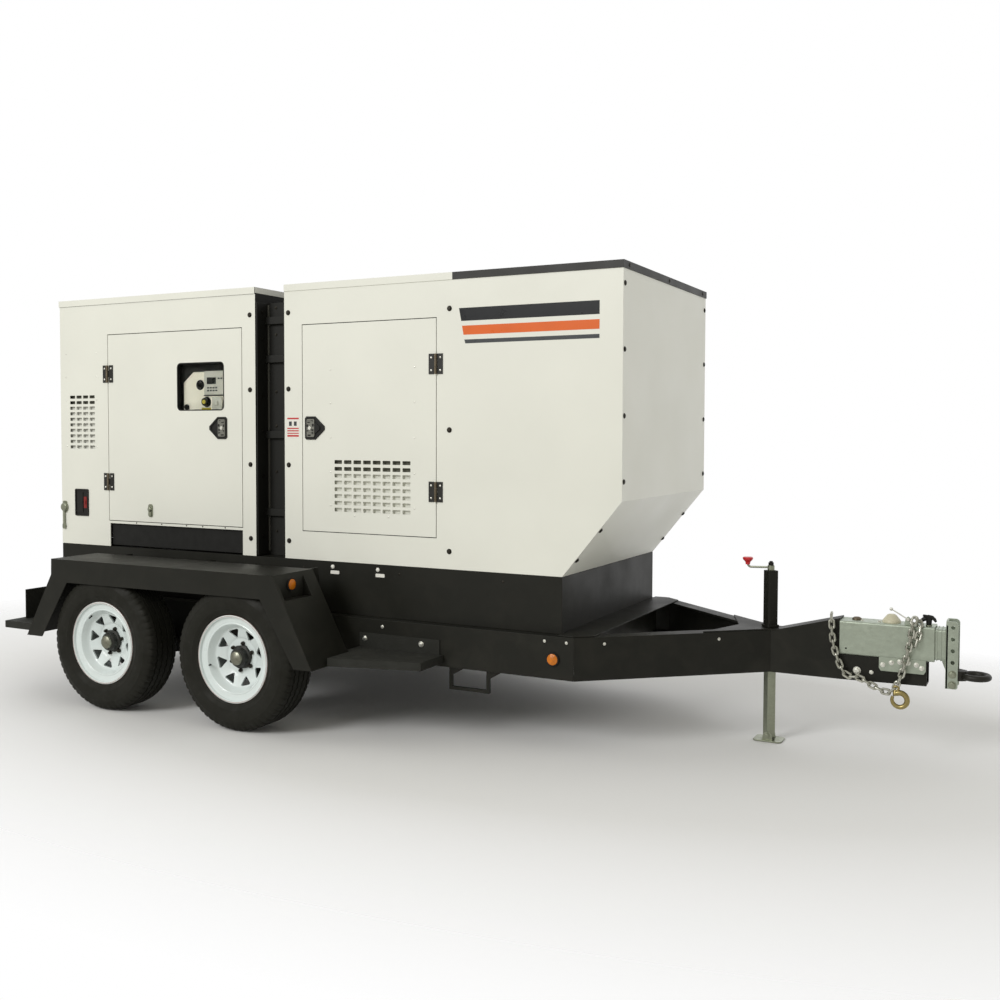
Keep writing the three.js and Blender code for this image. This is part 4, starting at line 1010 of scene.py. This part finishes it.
def add_gap_details():
    """Ribs, seams and bolts in the recess between the modules, under the roof's ivory edge."""
    edge = Shape().block(GAP_START + 0.2, GAP_START + 1.6, -SIDE, SIDE, ROOF_BOTTOM + 4, ROOF_TOP - 1)
    piece("gap_roof_edge", edge, IVORY, bevel=0.4)
    for side, sign in SIDES:
        ribs = Shape()
        for z in (1998, 1800, 1408, 1004):
            ribs.block(GAP_START + 2, GAP_END - 2, sign * 510, sign * 532, z - 20, z + 18)
        ribs.block(GAP_START + 1, GAP_START + 9, sign * 510, sign * 600, 782, ROOF_BOTTOM - 42)
        ribs.block(GAP_END - 10, GAP_END - 2, sign * 510, sign * 600, 782, ROOF_BOTTOM - 42)
        piece(f"gap_ribs_{side}", ribs, GAP_BLACK, bevel=2.5)
        seam = Shape().block(GAP_START + 9, GAP_START + 19, sign * 510, sign * 517, 800, 2080)
        piece(f"gap_seam_{side}", seam, SEAM_GREY, bevel=1)
        bolts = Shape()
        for z in (2040, 1902, 1606, 1428, 1190, 880):
            bolts.hexagon(6, (GAP_START + 9, sign * 560, z), (1, 0, 0), 4, washer=9)
            bolts.hexagon(6, (GAP_START + 60, sign * 511, z + 24), (0, sign, 0), 4, washer=9)
        piece(f"gap_bolts_{side}", bolts, BOLT_DARK, bevel=0.4)


def film(name, outline, material, body="chassis", y=-SIDE):
    sign = -1 if y < 0 else 1
    return piece(name, Shape().prism(outline, "y", y, y + sign * 0.5), material, body, bevel=0.12)


def add_markings():
    """Plain stripes and a plain label, with no lettering."""
    for side, sign in SIDES:
        y = sign * SIDE
        for tint, material, low, high, foot, head in (("charcoal", STRIPE_BLACK, 1936, 1996, 2640, 2628),
                                                      ("orange", STRIPE_ORANGE, 1872, 1914, 2652, 2644),
                                                      ("grey", STRIPE_GREY, 1832, 1850, 2662, 2656)):
            outline = [(foot, low), (3328, low), (3328, high), (head, high)]
            film(f"stripe_{tint}_{side}", outline, material, y=y)
        film(f"label_{side}", rounded(1625, 1707, 1390, 1496, 3, 2), LABEL_WHITE, y=y)
        bars, marks = Shape(), Shape()
        for z, height in ((1485, 8), (1436, 6), (1424, 6), (1412, 5), (1397, 9)):
            bars.block(1630, 1702, y + sign * 0.4, y + sign * 0.9, z, z + height)
        for x in (1641, 1672):
            marks.block(x, x + 17, y + sign * 0.4, y + sign * 0.9, 1452, 1474)
        piece(f"label_bars_{side}", bars, LABEL_RED)
        piece(f"label_marks_{side}", marks, STRIPE_GREY)


def add_side_fittings():
    """Receptacle, hasp and small latch on the control side; tabs and fittings on the tank."""
    frame_ring = Shape().hollow(rounded(110, 216, 941, 1094, 8, 4), rounded(118, 208, 949, 1086, 5, 4), "y",
                                -SIDE + 1, -SIDE - 6)
    frame_ring.prism(rounded(117, 209, 948, 1087, 5, 4), "y", -SIDE + 1, -SIDE - 1.5)
    piece("receptacle_frame", frame_ring, BLACK_PLASTIC, bevel=1)
    piece("receptacle_module", Shape().block(126, 172, -SIDE - 1, -SIDE - 4.5, 960, 1076)
          .block(127, 171, -SIDE - 4, -SIDE - 6, 1010, 1024), BLACK_PLASTIC, bevel=1.5)
    piece("receptacle_breaker", Shape().block(180, 203, -SIDE - 1, -SIDE - 5, 985, 1050)
          .block(186, 197, -SIDE - 4, -SIDE - 8.5, 1008, 1028), DARK_RED, bevel=1.5)
    hasp = Shape().prism(rounded(8, 42, 955, 1022, 8, 4), "y", -SIDE, -SIDE - 4)
    disc = [(0.01, 0), (25, 0), (25, 9), (21, 15), (10, 17), (0.01, 17)]
    hasp.lathe(disc, (27, -SIDE - 2, 987), (0, -1, 0), 32)
    hasp.prism(rounded(15, 30, 862, 975, 6, 4), "y", -SIDE - 4, -SIDE - 9)
    hasp.prism(rounded(11, 34, 862, 892, 8, 4), "y", -SIDE - 4, -SIDE - 11)
    piece("rear_hasp", hasp, ZINC, bevel=1.5)
    catch = Shape().prism(rounded(674, 706, 953, 1024, 12, 4), "y", -SIDE, -SIDE - 5)
    catch.lathe([(0.01, 0), (13, 0), (13, 6), (10, 11), (0.01, 12)], (690, -SIDE - 4, 996), (0, -1, 0), 32)
    catch.prism(rounded(681, 699, 957, 984, 6, 4), "y", -SIDE - 4, -SIDE - 11)
    piece("control_door_catch", catch, ZINC, "control_door", bevel=1.5)
    rivets = Shape()
    for _, sign in SIDES:
        for x in (583, 769, 948, 1062, 1217):
            rivets.button(4, (x, sign * SIDE, 916), (0, sign, 0), 2)
    piece("sill_rivets", rivets, BOLT_DARK)
    curtain = Shape()
    for _, sign in SIDES:
        curtain.block(384, 1336, *skin(sign, -14, -18), 786, 914)
    piece("cable_bay_curtains", curtain, SEAL, bevel=1)
    tabs, rounds = Shape(), Shape()
    for _, sign in SIDES:
        for x in (1924, 2192):
            tabs.prism(rounded(x - 26, x + 26, 716, 733, 4, 3), "y", *skin(sign, 0, 5))
            rounds.lathe([(0.01, 0), (10, 0), (10, 4), (7, 7), (0.01, 8)], (x - 14, sign * SIDE, 752),
                         (0, sign, 0), 24)
    piece("tank_tabs", tabs, LABEL_WHITE, bevel=1)
    piece("tank_plugs", rounds, LABEL_WHITE)


# ---------- controls ----------
def add_controls():
    """What shows on the control panel, behind the window."""
    refined("control_panel", 2.0)
    y = PANEL
    # A thin black film in an L along the top and left of the panel inside the window: the window frame's
    # shadow, painted, not a part.
    painted_shade = [(860, 1800), (1240, 1800), (1240, 1741), (970, 1741), (901, 1685), (901, 1520), (860, 1520)]
    piece("panel_painted_shadow", Shape().prism(painted_shade, "y", y - 0.2, y - 2), SEAL, bevel=0.4)
    face = Shape().prism(rounded(1048, 1228, 1618, 1744, 6, 4), "y", y - 0.2, y - 5)
    piece("controller_bezel", face, LABEL_GREY, bevel=1.5)
    display = Shape().prism(rounded(1068, 1130, 1674, 1710, 3, 3), "y", y - 4.5, y - 6)
    piece("controller_display", display, DISPLAY, bevel=0.4)
    keys = Shape()
    for column in range(4):
        for x, z in ((1070 + column * 19, 1651), (1070 + column * 19, 1636), (1144 + column * 18, 1700)):
            keys.prism(rounded(x, x + 12, z, z + 8, 2, 3), "y", y - 4.6, y - 7)
    piece("controller_keys", keys, STRIPE_GREY, bevel=0.5)
    shelf = Shape().block(1046, 1228, y - 0.3, y - 6, 1612, 1617)
    piece("panel_shelf", shelf, BLACK_PLASTIC, bevel=0.8)
    collar = Shape().hollow(circle(STOP_X, STOP_Z, 28, 40), circle(STOP_X, STOP_Z, 9, 40),
                            "y", y - 0.2, y - 3)
    piece("stop_collar", collar, BLACK_PLASTIC, bevel=0.6)
    plate = Shape().prism(rounded(1026, 1091, 1540, 1550, 2, 3), "y", y - 0.2, y - 0.9)
    piece("stop_label", plate, YELLOW, bevel=0.2)
    mushroom = [(0.01, 10), (7.4, 10), (7.4, -11), (20, -12), (22, -16), (21, -22), (17, -25), (12, -25.5),
                (0.01, -25.5)]
    head = Shape().lathe(mushroom, (0, 0, 0), "y", 40)
    bmesh.ops.translate(head.bm, vec=(STOP_X, y, STOP_Z), verts=head.bm.verts)
    piece("emergency_stop_head", head, BLACK_PLASTIC, "emergency_stop_button",
          ("emergency_stop_button",), bevel=0.5)
    centre = Shape().lathe([(0.01, -25), (11, -25), (11, -26.6), (8, -27.2), (0.01, -27.4)],
                           (STOP_X, y, STOP_Z), "y", 40)
    piece("emergency_stop_centre", centre, YELLOW, "emergency_stop_button")
    plate = Shape().hollow(circle(KEY_X, KEY_Z, 27, 40), circle(KEY_X, KEY_Z, 17, 40), "y", y - 0.2, y - 3)
    piece("key_plate", plate, BLACK_PLASTIC, bevel=0.6)
    key = Shape().lathe([(0.01, 28), (9, 28), (9, -0.4), (16, -0.6), (16, -5), (13, -7), (0.01, -7)],
                        (KEY_X, y, KEY_Z), "y", 40)
    key.prism(rounded(1014.5, 1021.5, 1660, 1682, 3, 4), "y", y - 6, y - 23)
    piece("key_switch_body", key, BLACK_PLASTIC, "key_switch", ("key_switch",), bevel=0.8)
    breaker = Shape().prism(rounded(1104, 1172, 1540, 1606, 4, 3), "y", y - 0.2, y - 7)
    breaker.block(1128, 1148, y - 6, y - 13, 1564, 1584)
    piece("panel_breaker", breaker, LABEL_GREY, bevel=1.2)
    dial = Shape().lathe([(0.01, 0), (15, 0), (15, -8), (12, -13), (0.01, -13)], (925, y, 1554), "y", 40)
    piece("panel_dial", dial, BLACK_PLASTIC, bevel=1)


# ---------- chassis ----------
def add_chassis():
    for node in ("frame_rail_right", "frame_rail_left", "tongue_rail_right", "tongue_rail_left", "front_deck",
                 "drawbar", "base_tank", "fender_right", "fender_left", "axle_tube_rear", "axle_tube_front",
                 "front_step_right", "front_step_left", "rear_step_right", "rear_step_left"):
        refined(node, 2.0)
    for end in AXLES:
        for side, _ in SIDES:
            refined(f"torsion_arm_{end}_{side}", 2.0)
    bolts, dark = Shape(), Shape()
    for _, sign in SIDES:
        out = (0, sign, 0)
        for x in (2143, 2461):
            bolts.hexagon(10, (x, sign * 667.4, BOLT_ROW), out, 6, washer=14)
        bolts.hexagon(6, (2240, sign * RAIL, 487), out, 4, washer=9)
        for x in (3098, 3204):
            bolts.hexagon(4.5, (x, sign * RAIL, 496), out, 3, washer=7)
        for x in (60, 180):
            bolts.hexagon(10, (x, sign * 667.4, BOLT_ROW), out, 6, washer=14)
        for x in (1730, 2300, 2860):
            dark.button(6, (x, sign * SIDE, 738), out, 2.5)
        for distance in (140, 685):
            angle = math.atan2(RAIL - TONGUE_MIDDLE, TONGUE_END - TONGUE_START)
            at = (TONGUE_START + distance * math.cos(angle), sign * (RAIL - distance * math.sin(angle)), 490)
            bolts.hexagon(4.5, at, (math.sin(angle), sign * math.cos(angle), 0), 3, washer=7)
    piece("chassis_bolts", bolts, BOLT_STEEL, bevel=0.5)
    piece("tank_plugs_dark", dark, BOLT_DARK)
    cap = Shape().lathe([(0.01, 0), (44, 0), (46, 4), (46, 20), (42, 26), (0.01, 28)],
                        (250, 380, 777.8), "z", 12)
    piece("fuel_cap", cap, BLACK_PLASTIC, bevel=2)


def add_lamps():
    """Amber markers on the rails and in the fender pockets, and red lamps over the rear steps."""
    housings, ambers, reds = Shape(), Shape(), Shape()
    dome = [(0.01, 0), (27, 0), (27, 5), (24, 11), (15, 15), (0.01, 16.5)]
    ring = [(24, 0), (33, 0), (33, 4), (30, 8), (25, 8), (24, 5)]
    spots = []
    for _, sign in SIDES:
        spots.append((ambers, (3139, sign * RAIL, 418), Vector((0, sign, 0))))
        spots.append((ambers, (1926, sign * 960, 708), Vector((1, 0, 0))))
        spots.append((reds, (30, sign * 795, 478), Vector((-1, 0, 0))))
    for target, at, normal in spots:
        target.lathe(dome, at, normal, 36)
        housings.lathe(ring, at, normal, 36)
    piece("marker_lenses", ambers, AMBER)
    piece("tail_lenses", reds, TAIL_RED)
    piece("lamp_grommets", housings, SEAL)


# ---------- jack ----------
def diamond(size, radius):
    """A rounded square standing on its corner."""
    half = size / 2
    turned = []
    for a, b in rounded(-half, half, -half, half, radius, 4):
        turned.append((JACK_X + (a - b) * math.sqrt(0.5), (a + b) * math.sqrt(0.5)))
    return turned


def add_jack():
    tube = Shape().hollow(diamond(50, 6), diamond(43.2, 4), "z", 334, 783)
    tube.prism(diamond(50, 6), "z", 783, 789)
    piece("jack_outer_tube", tube, CHASSIS, "chassis", ("jack_tube",), bevel=0.8)
    collar = Shape().hollow(diamond(62, 8), diamond(50.2, 6), "z", 527, 539)
    piece("jack_weld_collar", collar, CHASSIS, bevel=3)
    leg = Shape().hollow(diamond(42, 5), diamond(34, 3), "z", 14, 532)
    piece("jack_inner_leg", leg, ZINC, "jack_leg", ("jack_leg",), bevel=0.8)
    plate = [(-65, -38), (-52, -50), (52, -50), (65, -38), (65, 38), (52, 50), (-52, 50), (-65, 38)]
    foot = Shape().prism([(JACK_X + x, y) for x, y in plate], "z", 0, 7)
    for sign in (-1, 1):
        outline = [(JACK_X - 24, 6), (JACK_X + 24, 6), (JACK_X + 20, 30), (JACK_X + 8, 42), (JACK_X - 8, 42),
                   (JACK_X - 20, 30)]
        foot.prism(outline, "y", sign * 30.7, sign * 35.7)
    foot.soften(1.6)
    foot.rod(6, (JACK_X, -39, 28), (JACK_X, 39, 28), 20)
    foot.hexagon(9, (JACK_X, -35.7, 28), (0, -1, 0), 6, washer=12)
    foot.hexagon(9, (JACK_X, 35.7, 28), (0, 1, 0), 6, washer=12)
    piece("jack_foot_plate", foot, ZINC, "jack_leg", ("jack_foot",))
    crank = Shape().rod(16, (JACK_X, 0, 789.6), (JACK_X, 0, 812), 28)
    crank.soften(1.5)
    crank.rod(8.5, (JACK_X, 0, 560), (JACK_X, 0, 790), 20)
    arm = [(JACK_X - 8, 0, 803), (JACK_X - 60, 0, 801), (JACK_X - 92, 0, 800)]
    for step in range(1, 7):
        a = math.radians(90 * step / 6)
        arm.append((JACK_X - 92 - 16 * math.sin(a), 0, 816 - 16 * math.cos(a)))
    arm.append((JACK_X - 108, 0, 838))
    crank.tube(arm, 5, 14)
    piece("jack_crank_arm", crank, ZINC, "jack_crank", ("jack_crank",))
    nut = Shape().rod(13, (JACK_X, 0, 811), (JACK_X, 0, 826), 6)
    nut.rod(8, (JACK_X, 0, 825), (JACK_X, 0, 832), 20)
    piece("jack_crank_nut", nut, BLACK_PLASTIC, "jack_crank", bevel=1.5)
    profile = [(6, 811), (10, 811), (11, 818), (13, 824), (21, 832), (24, 838), (24, 842), (20, 845.5),
               (0.01, 846), (0.01, 841), (6, 840)]
    knob = Shape().lathe(profile, (JACK_X - 108, 0, 0), "z", 40)
    piece("jack_knob_grip", knob, RED, "jack_knob", ("jack_knob",))


# ---------- actuator and towing ring ----------
def add_actuator():
    case = Shape().hollow(rounded(-60, 60, 442, 592, 9, 4), rounded(-54, 54, 448, 586, 5, 4),
                          "x", 4262, 4655)
    case.prism(rounded(-59, 59, 443, 591, 8, 4), "x", 4263, 4268)
    drain = Shape().block(4632, 4660, -9, 9, 436, 449)
    drain.rod(4, (4290, -70, 470), (4290, -50, 470), 20)
    case = carved(case, drain)
    case.soften(0.8)
    for sign in (-1, 1):
        outline = [(4430, 398), (4438, 385), (4614, 385), (4622, 398), (4622, 450), (4430, 450)]
        case.prism(outline, "y", sign * 50.6, sign * 58)
    piece("actuator_shell", case, GALVANISED, "chassis", ("actuator_case",))
    bolts = Shape()
    for sign in (-1, 1):
        for x, z in ((4446, 412), (4482, 424), (4516, 430), (4550, 430), (4584, 424), (4606, 412)):
            bolts.hexagon(8, (x, sign * 58, z), (0, sign, 0), 5, washer=11)
        bolts.hexagon(7.5, (4398, sign * 50, 372), (0, sign, 0), 5, washer=9)
    for x in (4352, 4424, 4600):
        bolts.hexagon(6, (x, -20, 592), (0, 0, 1), 5, washer=9)
    piece("actuator_bolts", bolts, BOLT_STEEL, bevel=0.5)
    anchor = Shape().hexagon(12, (4337, -50, 374), (0, -1, 0), 11, washer=17)
    piece("chain_anchor_bolt", anchor, BOLT_STEEL, bevel=1)
    bulb = [(0.01, 592), (39, 592), (39, 600), (34, 607), (20, 624), (14, 628), (8, 629), (0.01, 629)]
    dome = Shape().lathe(bulb, (4473, 0, 0), "z", 40)
    piece("fluid_reservoir", dome, CREAM)
    fill = Shape().lathe([(0.01, 590), (21, 590), (20, 599), (12, 604), (0.01, 605)], (4326, 0, 0), "z", 24)
    piece("reservoir_cap", fill, HINGE_STEEL, bevel=1)
    bracket = Shape().prism([(4530, 592), (4562, 592), (4556, 622), (4546, 630), (4536, 622)], "y", -40, -46)
    piece("lever_bracket", bracket, GALVANISED, bevel=1)


def add_slide_and_ring():
    bar = Shape().prism(rounded(-51, 51, 451, 583, 10, 4), "x", 4390, 4701)
    for x in (4662, 4678, 4692):
        bar.prism(rounded(-53.5, 53.5, 448.5, 585.5, 10, 4), "x", x, x + 5)
    bar.prism([(4678, 449), (4700, 449), (4700, 392)], "y", -5, 5)
    bar.soften(1.0)
    outline = [(-46, 332), (46, 332), (46, 604), (28, 622), (-28, 622), (-46, 604)]
    bar.prism(outline, "x", 4699, 4707)
    cheeks = Shape()
    cheek = [(4700, 332), (4742, 332), (4748, 338), (4748, 608), (4744, 617), (4735, 622), (4700, 622)]
    for sign in (-1, 1):
        cheeks.prism(cheek, "y", sign * 38, sign * 46)
    holes = Shape()
    for z in (445, 495, 545, 595):
        holes.prism(circle(HITCH_BOLT_X, z, 8.5, 28), "y", -70, 70)
    cheeks = carved(cheeks, holes)
    cheeks.soften(0.8, 2, 50)
    piece("actuator_slide_bar", bar, GALVANISED, "surge_slide", ("actuator_slide",))
    piece("hitch_channel", cheeks, GALVANISED, "surge_slide")
    bolts = Shape()
    for z in (395, 350):
        bolts.hexagon(13, (HITCH_BOLT_X, -46, z), (0, -1, 0), 9, washer=17)
        bolts.hexagon(13, (HITCH_BOLT_X, 46, z), (0, 1, 0), 10, washer=17)
    piece("hitch_bolts", bolts, ZINC, "surge_slide", bevel=1)
    eye = Shape()
    ring = [(x, y, 387) for x, y in circle(4816, 0, 50, 56)]
    eye.tube(ring, 13.6, 20, closed=True)
    plan = [(4708, -37), (4752, -37), (4782, -20), (4782, 20), (4752, 37), (4708, 37)]
    shank = Shape().prism(plan, "z", 366, 408)
    shank.soften(5, 3)
    merge(eye, shank)
    piece("towing_ring", eye, FORGED, "surge_slide", ("pintle_ring",))


def add_lever_and_handle():
    x, z = LEVER_X, LEVER_Z
    lever = Shape().rod(6.5, (x, -47.5, z), (x, -55, z), 24)
    lever.rod(3, (x, -56, z), (x, -37.5, z), 16)
    end = (x - 69, -51, z + 40)
    lever.tube([(x, -51.5, z), (x - 22, -51.5, z + 13), (x - 46, -51.2, z + 27), end], 2.8, 10)
    ball = Shape()
    bmesh.ops.create_uvsphere(ball.bm, u_segments=24, v_segments=14, radius=7.5,
                              matrix=Matrix.Translation(end))
    merge(lever, ball)
    piece("breakaway_lever_arm", lever, BOLT_STEEL, "breakaway_lever", ("breakaway_lever",))
    stem = Shape().rod(7, (PIN_X, PIN_Y, 590), (PIN_X, PIN_Y, 612), 20)
    stem.rod(13, (PIN_X, PIN_Y, 591), (PIN_X, PIN_Y, 597), 24)
    piece("lock_pin", stem, ZINC, bevel=0.8)
    wing = Shape().rod(11, (PIN_X, PIN_Y, 596), (PIN_X, PIN_Y, 633), 24, tip=14)
    arch = [(4589, 602), (4598, 613), (4611, 622), (4627, 630), (4641, 629), (4651, 621), (4657, 611)]
    wing.tube([(a, PIN_Y, b) for a, b in arch], [5, 8, 10, 11, 9, 7, 4.5], 14)
    wing.tube([(PIN_X, PIN_Y, 628), (4620, -30, 633), (4606, -37, 638)], [10, 8, 5], 14)
    piece("lock_pin_handle", wing, BLACK_PLASTIC)


# ---------- chain ----------
# The chain's route, rounded from its drape in the photo: from its anchor over the case's edge, slack
# along the drawbar, up and over the far end of the case, and back down as a loose end.
CHAIN_ROUTE = [(4222, -30, 612), (4228, -72, 600), (4240, -78, 480), (4290, -78, 360), (4350, -80, 350),
               (4420, -82, 315), (4480, -86, 300), (4520, -84, 360), (4555, -78, 500), (4572, -68, 620),
               (4590, -40, 612), (4598, -66, 585), (4580, -80, 510)]


def spline(points, count):
    """Points evenly spaced by length on a smooth curve through the given ones."""
    fine = []
    p = [Vector(q) for q in points]
    p = [2 * p[0] - p[1], *p, 2 * p[-1] - p[-2]]
    for i in range(1, len(p) - 2):
        for s in range(24):
            t = s / 24
            a, b, c, d = p[i - 1:i + 3]
            fine.append(0.5 * ((2 * b) + (c - a) * t + (2 * a - 5 * b + 4 * c - d) * t * t
                               + (3 * b - a - 3 * c + d) * t ** 3))
    fine.append(p[-2])
    lengths = [0.0]
    for a, b in zip(fine, fine[1:]):
        lengths.append(lengths[-1] + (b - a).length)
    spaced = []
    for k in range(count):
        want = lengths[-1] * k / (count - 1)
        i = next((i for i in range(1, len(lengths)) if lengths[i] >= want), len(lengths) - 1)
        share = (want - lengths[i - 1]) / max(lengths[i] - lengths[i - 1], 1e-9)
        spaced.append(fine[i - 1].lerp(fine[i], share))
    return spaced, lengths[-1]


def add_chain():
    """Round-link safety chain over the actuator, with its grab hook."""
    pitch, wire = 30.0, 5.2
    _, length = spline(CHAIN_ROUTE, 10)
    count = round(length / pitch)
    joints, _ = spline(CHAIN_ROUTE, count + 1)
    links = Shape()
    for i in range(count):
        a, b = joints[i], joints[i + 1]
        along = (b - a).normalized()
        level = along.cross(Vector((0, 1, 0))).normalized()
        flat = along.cross(level).normalized()
        tilt = math.radians(82 if i % 2 else -8)
        wide = level * math.cos(tilt) + flat * math.sin(tilt)
        middle = (a + b) / 2
        straight, bend = 8.6, 10.6
        outline = []
        for s in range(20):
            angle = 2 * math.pi * s / 20
            u = straight * (1 if math.cos(angle) > 0 else -1) + bend * math.cos(angle)
            outline.append(middle + along * u + wide * bend * math.sin(angle))
        links.tube(outline, wire, 8, closed=True)
    piece("safety_chain_links", links, CHAIN_STEEL, "chassis", ("safety_chain",))
    hook = Shape()
    centre = Vector((4522, -90, 272))
    arc, radii = [], []
    for s in range(26):
        a = math.radians(130 - s * 335 / 25)
        arc.append(centre + Vector((31 * math.cos(a), 0, 31 * math.sin(a))))
        radii.append(12.5 - 5.5 * (s / 25) ** 2)
    hook.tube([centre + Vector((-16, 0, 42)), centre + Vector((-19, 0, 32))] + arc, [7, 10] + radii, 14)
    eye = [centre + Vector((-14 + 10 * math.cos(a), 0, 48 + 10 * math.sin(a))) for a in
           (2 * math.pi * s / 20 for s in range(20))]
    hook.tube(eye, 5, 10, closed=True)
    piece("grab_hook", hook, YELLOW_ZINC)


# ---------- inside ----------
def add_power_unit():
    """Engine, generator end, radiator, fan and silencer, seen when the doors are open."""
    for node in ("engine_block", "alternator", "radiator", "cooling_fan", "muffler"):
        refined(node, 1.0 if node == "cooling_fan" else 3.0)
    cover = Shape()
    for x in (1800, 1910, 2020, 2130, 2240, 2350):
        cover.prism(rounded(x, x + 92, -120, 120, 14, 4), "z", 1600, 1640)
    piece("rocker_covers", cover, ENGINE, bevel=6)
    route = [(1800, -190, 1500), (2000, -205, 1505), (2200, -205, 1505), (2380, -190, 1500)]
    manifold = Shape().tube(route, 34, 20)
    for x in (1850, 1960, 2070, 2180, 2290):
        manifold.rod(24, (x, -150, 1500), (x, -205, 1503), 20)
    piece("intake_manifold", manifold, ENGINE)
    filters = Shape()
    for x in (1900, 2010):
        filters.lathe([(0.01, 0), (46, 0), (48, 6), (48, 140), (44, 150), (20, 156), (0.01, 156)],
                      (x, -258, 1060), "z", 32)
    piece("oil_filters", filters, LABEL_WHITE, bevel=1)
    cleaner = Shape().lathe([(0.01, 0), (105, 0), (112, 10), (112, 290), (100, 305), (60, 312), (0.01, 312)],
                            (1780, 60, 1790), "x", 48)
    for step in range(5):
        cleaner.lathe([(111, 0), (115, 2), (115, 8), (111, 10)], (1830 + step * 48, 60, 1790), "x", 48)
    piece("air_cleaner", cleaner, BLACK_PLASTIC)
    hose = Shape()
    points, _ = spline([(2380, 60, 1700), (2460, 60, 1740), (2540, 40, 1760), (2610, 20, 1770)], 26)
    hose.tube(points, 30, 20)
    piece("radiator_hose", hose, SEAL)
    lower, _ = spline([(2420, 205, 1010), (2480, 370, 970), (2545, 415, 930), (2606, 400, 900)], 26)
    piece("lower_hose", Shape().tube(lower, 28, 20), SEAL)
    fins = Shape()
    for i in range(18):
        a = 2 * math.pi * i / 18
        y, z = 263 * math.cos(a), 1230 + 263 * math.sin(a)
        if z > 1100:
            fins.block(1180, 1600, y - 4, y + 4, z - 4, z + 4)
    piece("stator_ribs", fins, ENGINE, bevel=2)


def add_rear_louvres():
    """Hoods over the rear face's air inlet."""
    hoods = Shape()
    for row in range(8):
        z = 1080 + row * 110
        outline = [(-3.6, z + 46), (-0.2, z + 52), (-0.2, z + 44), (6, z + 6), (3, z + 4)]
        hoods.prism(outline, "y", -384, 384)
    piece("rear_louvre_hoods", hoods, IVORY, bevel=0.4)


add_camera()
add_studio()
add_housings()
add_doors()
add_vent_backs()
add_hinge_details()
add_latches()
add_side_bolts()
add_gap_details()
add_markings()
add_side_fittings()
add_controls()
add_chassis()
add_lamps()
add_wheels()
add_jack()
add_actuator()
add_slide_and_ring()
add_lever_and_handle()
add_chain()
add_power_unit()
add_rear_louvres()
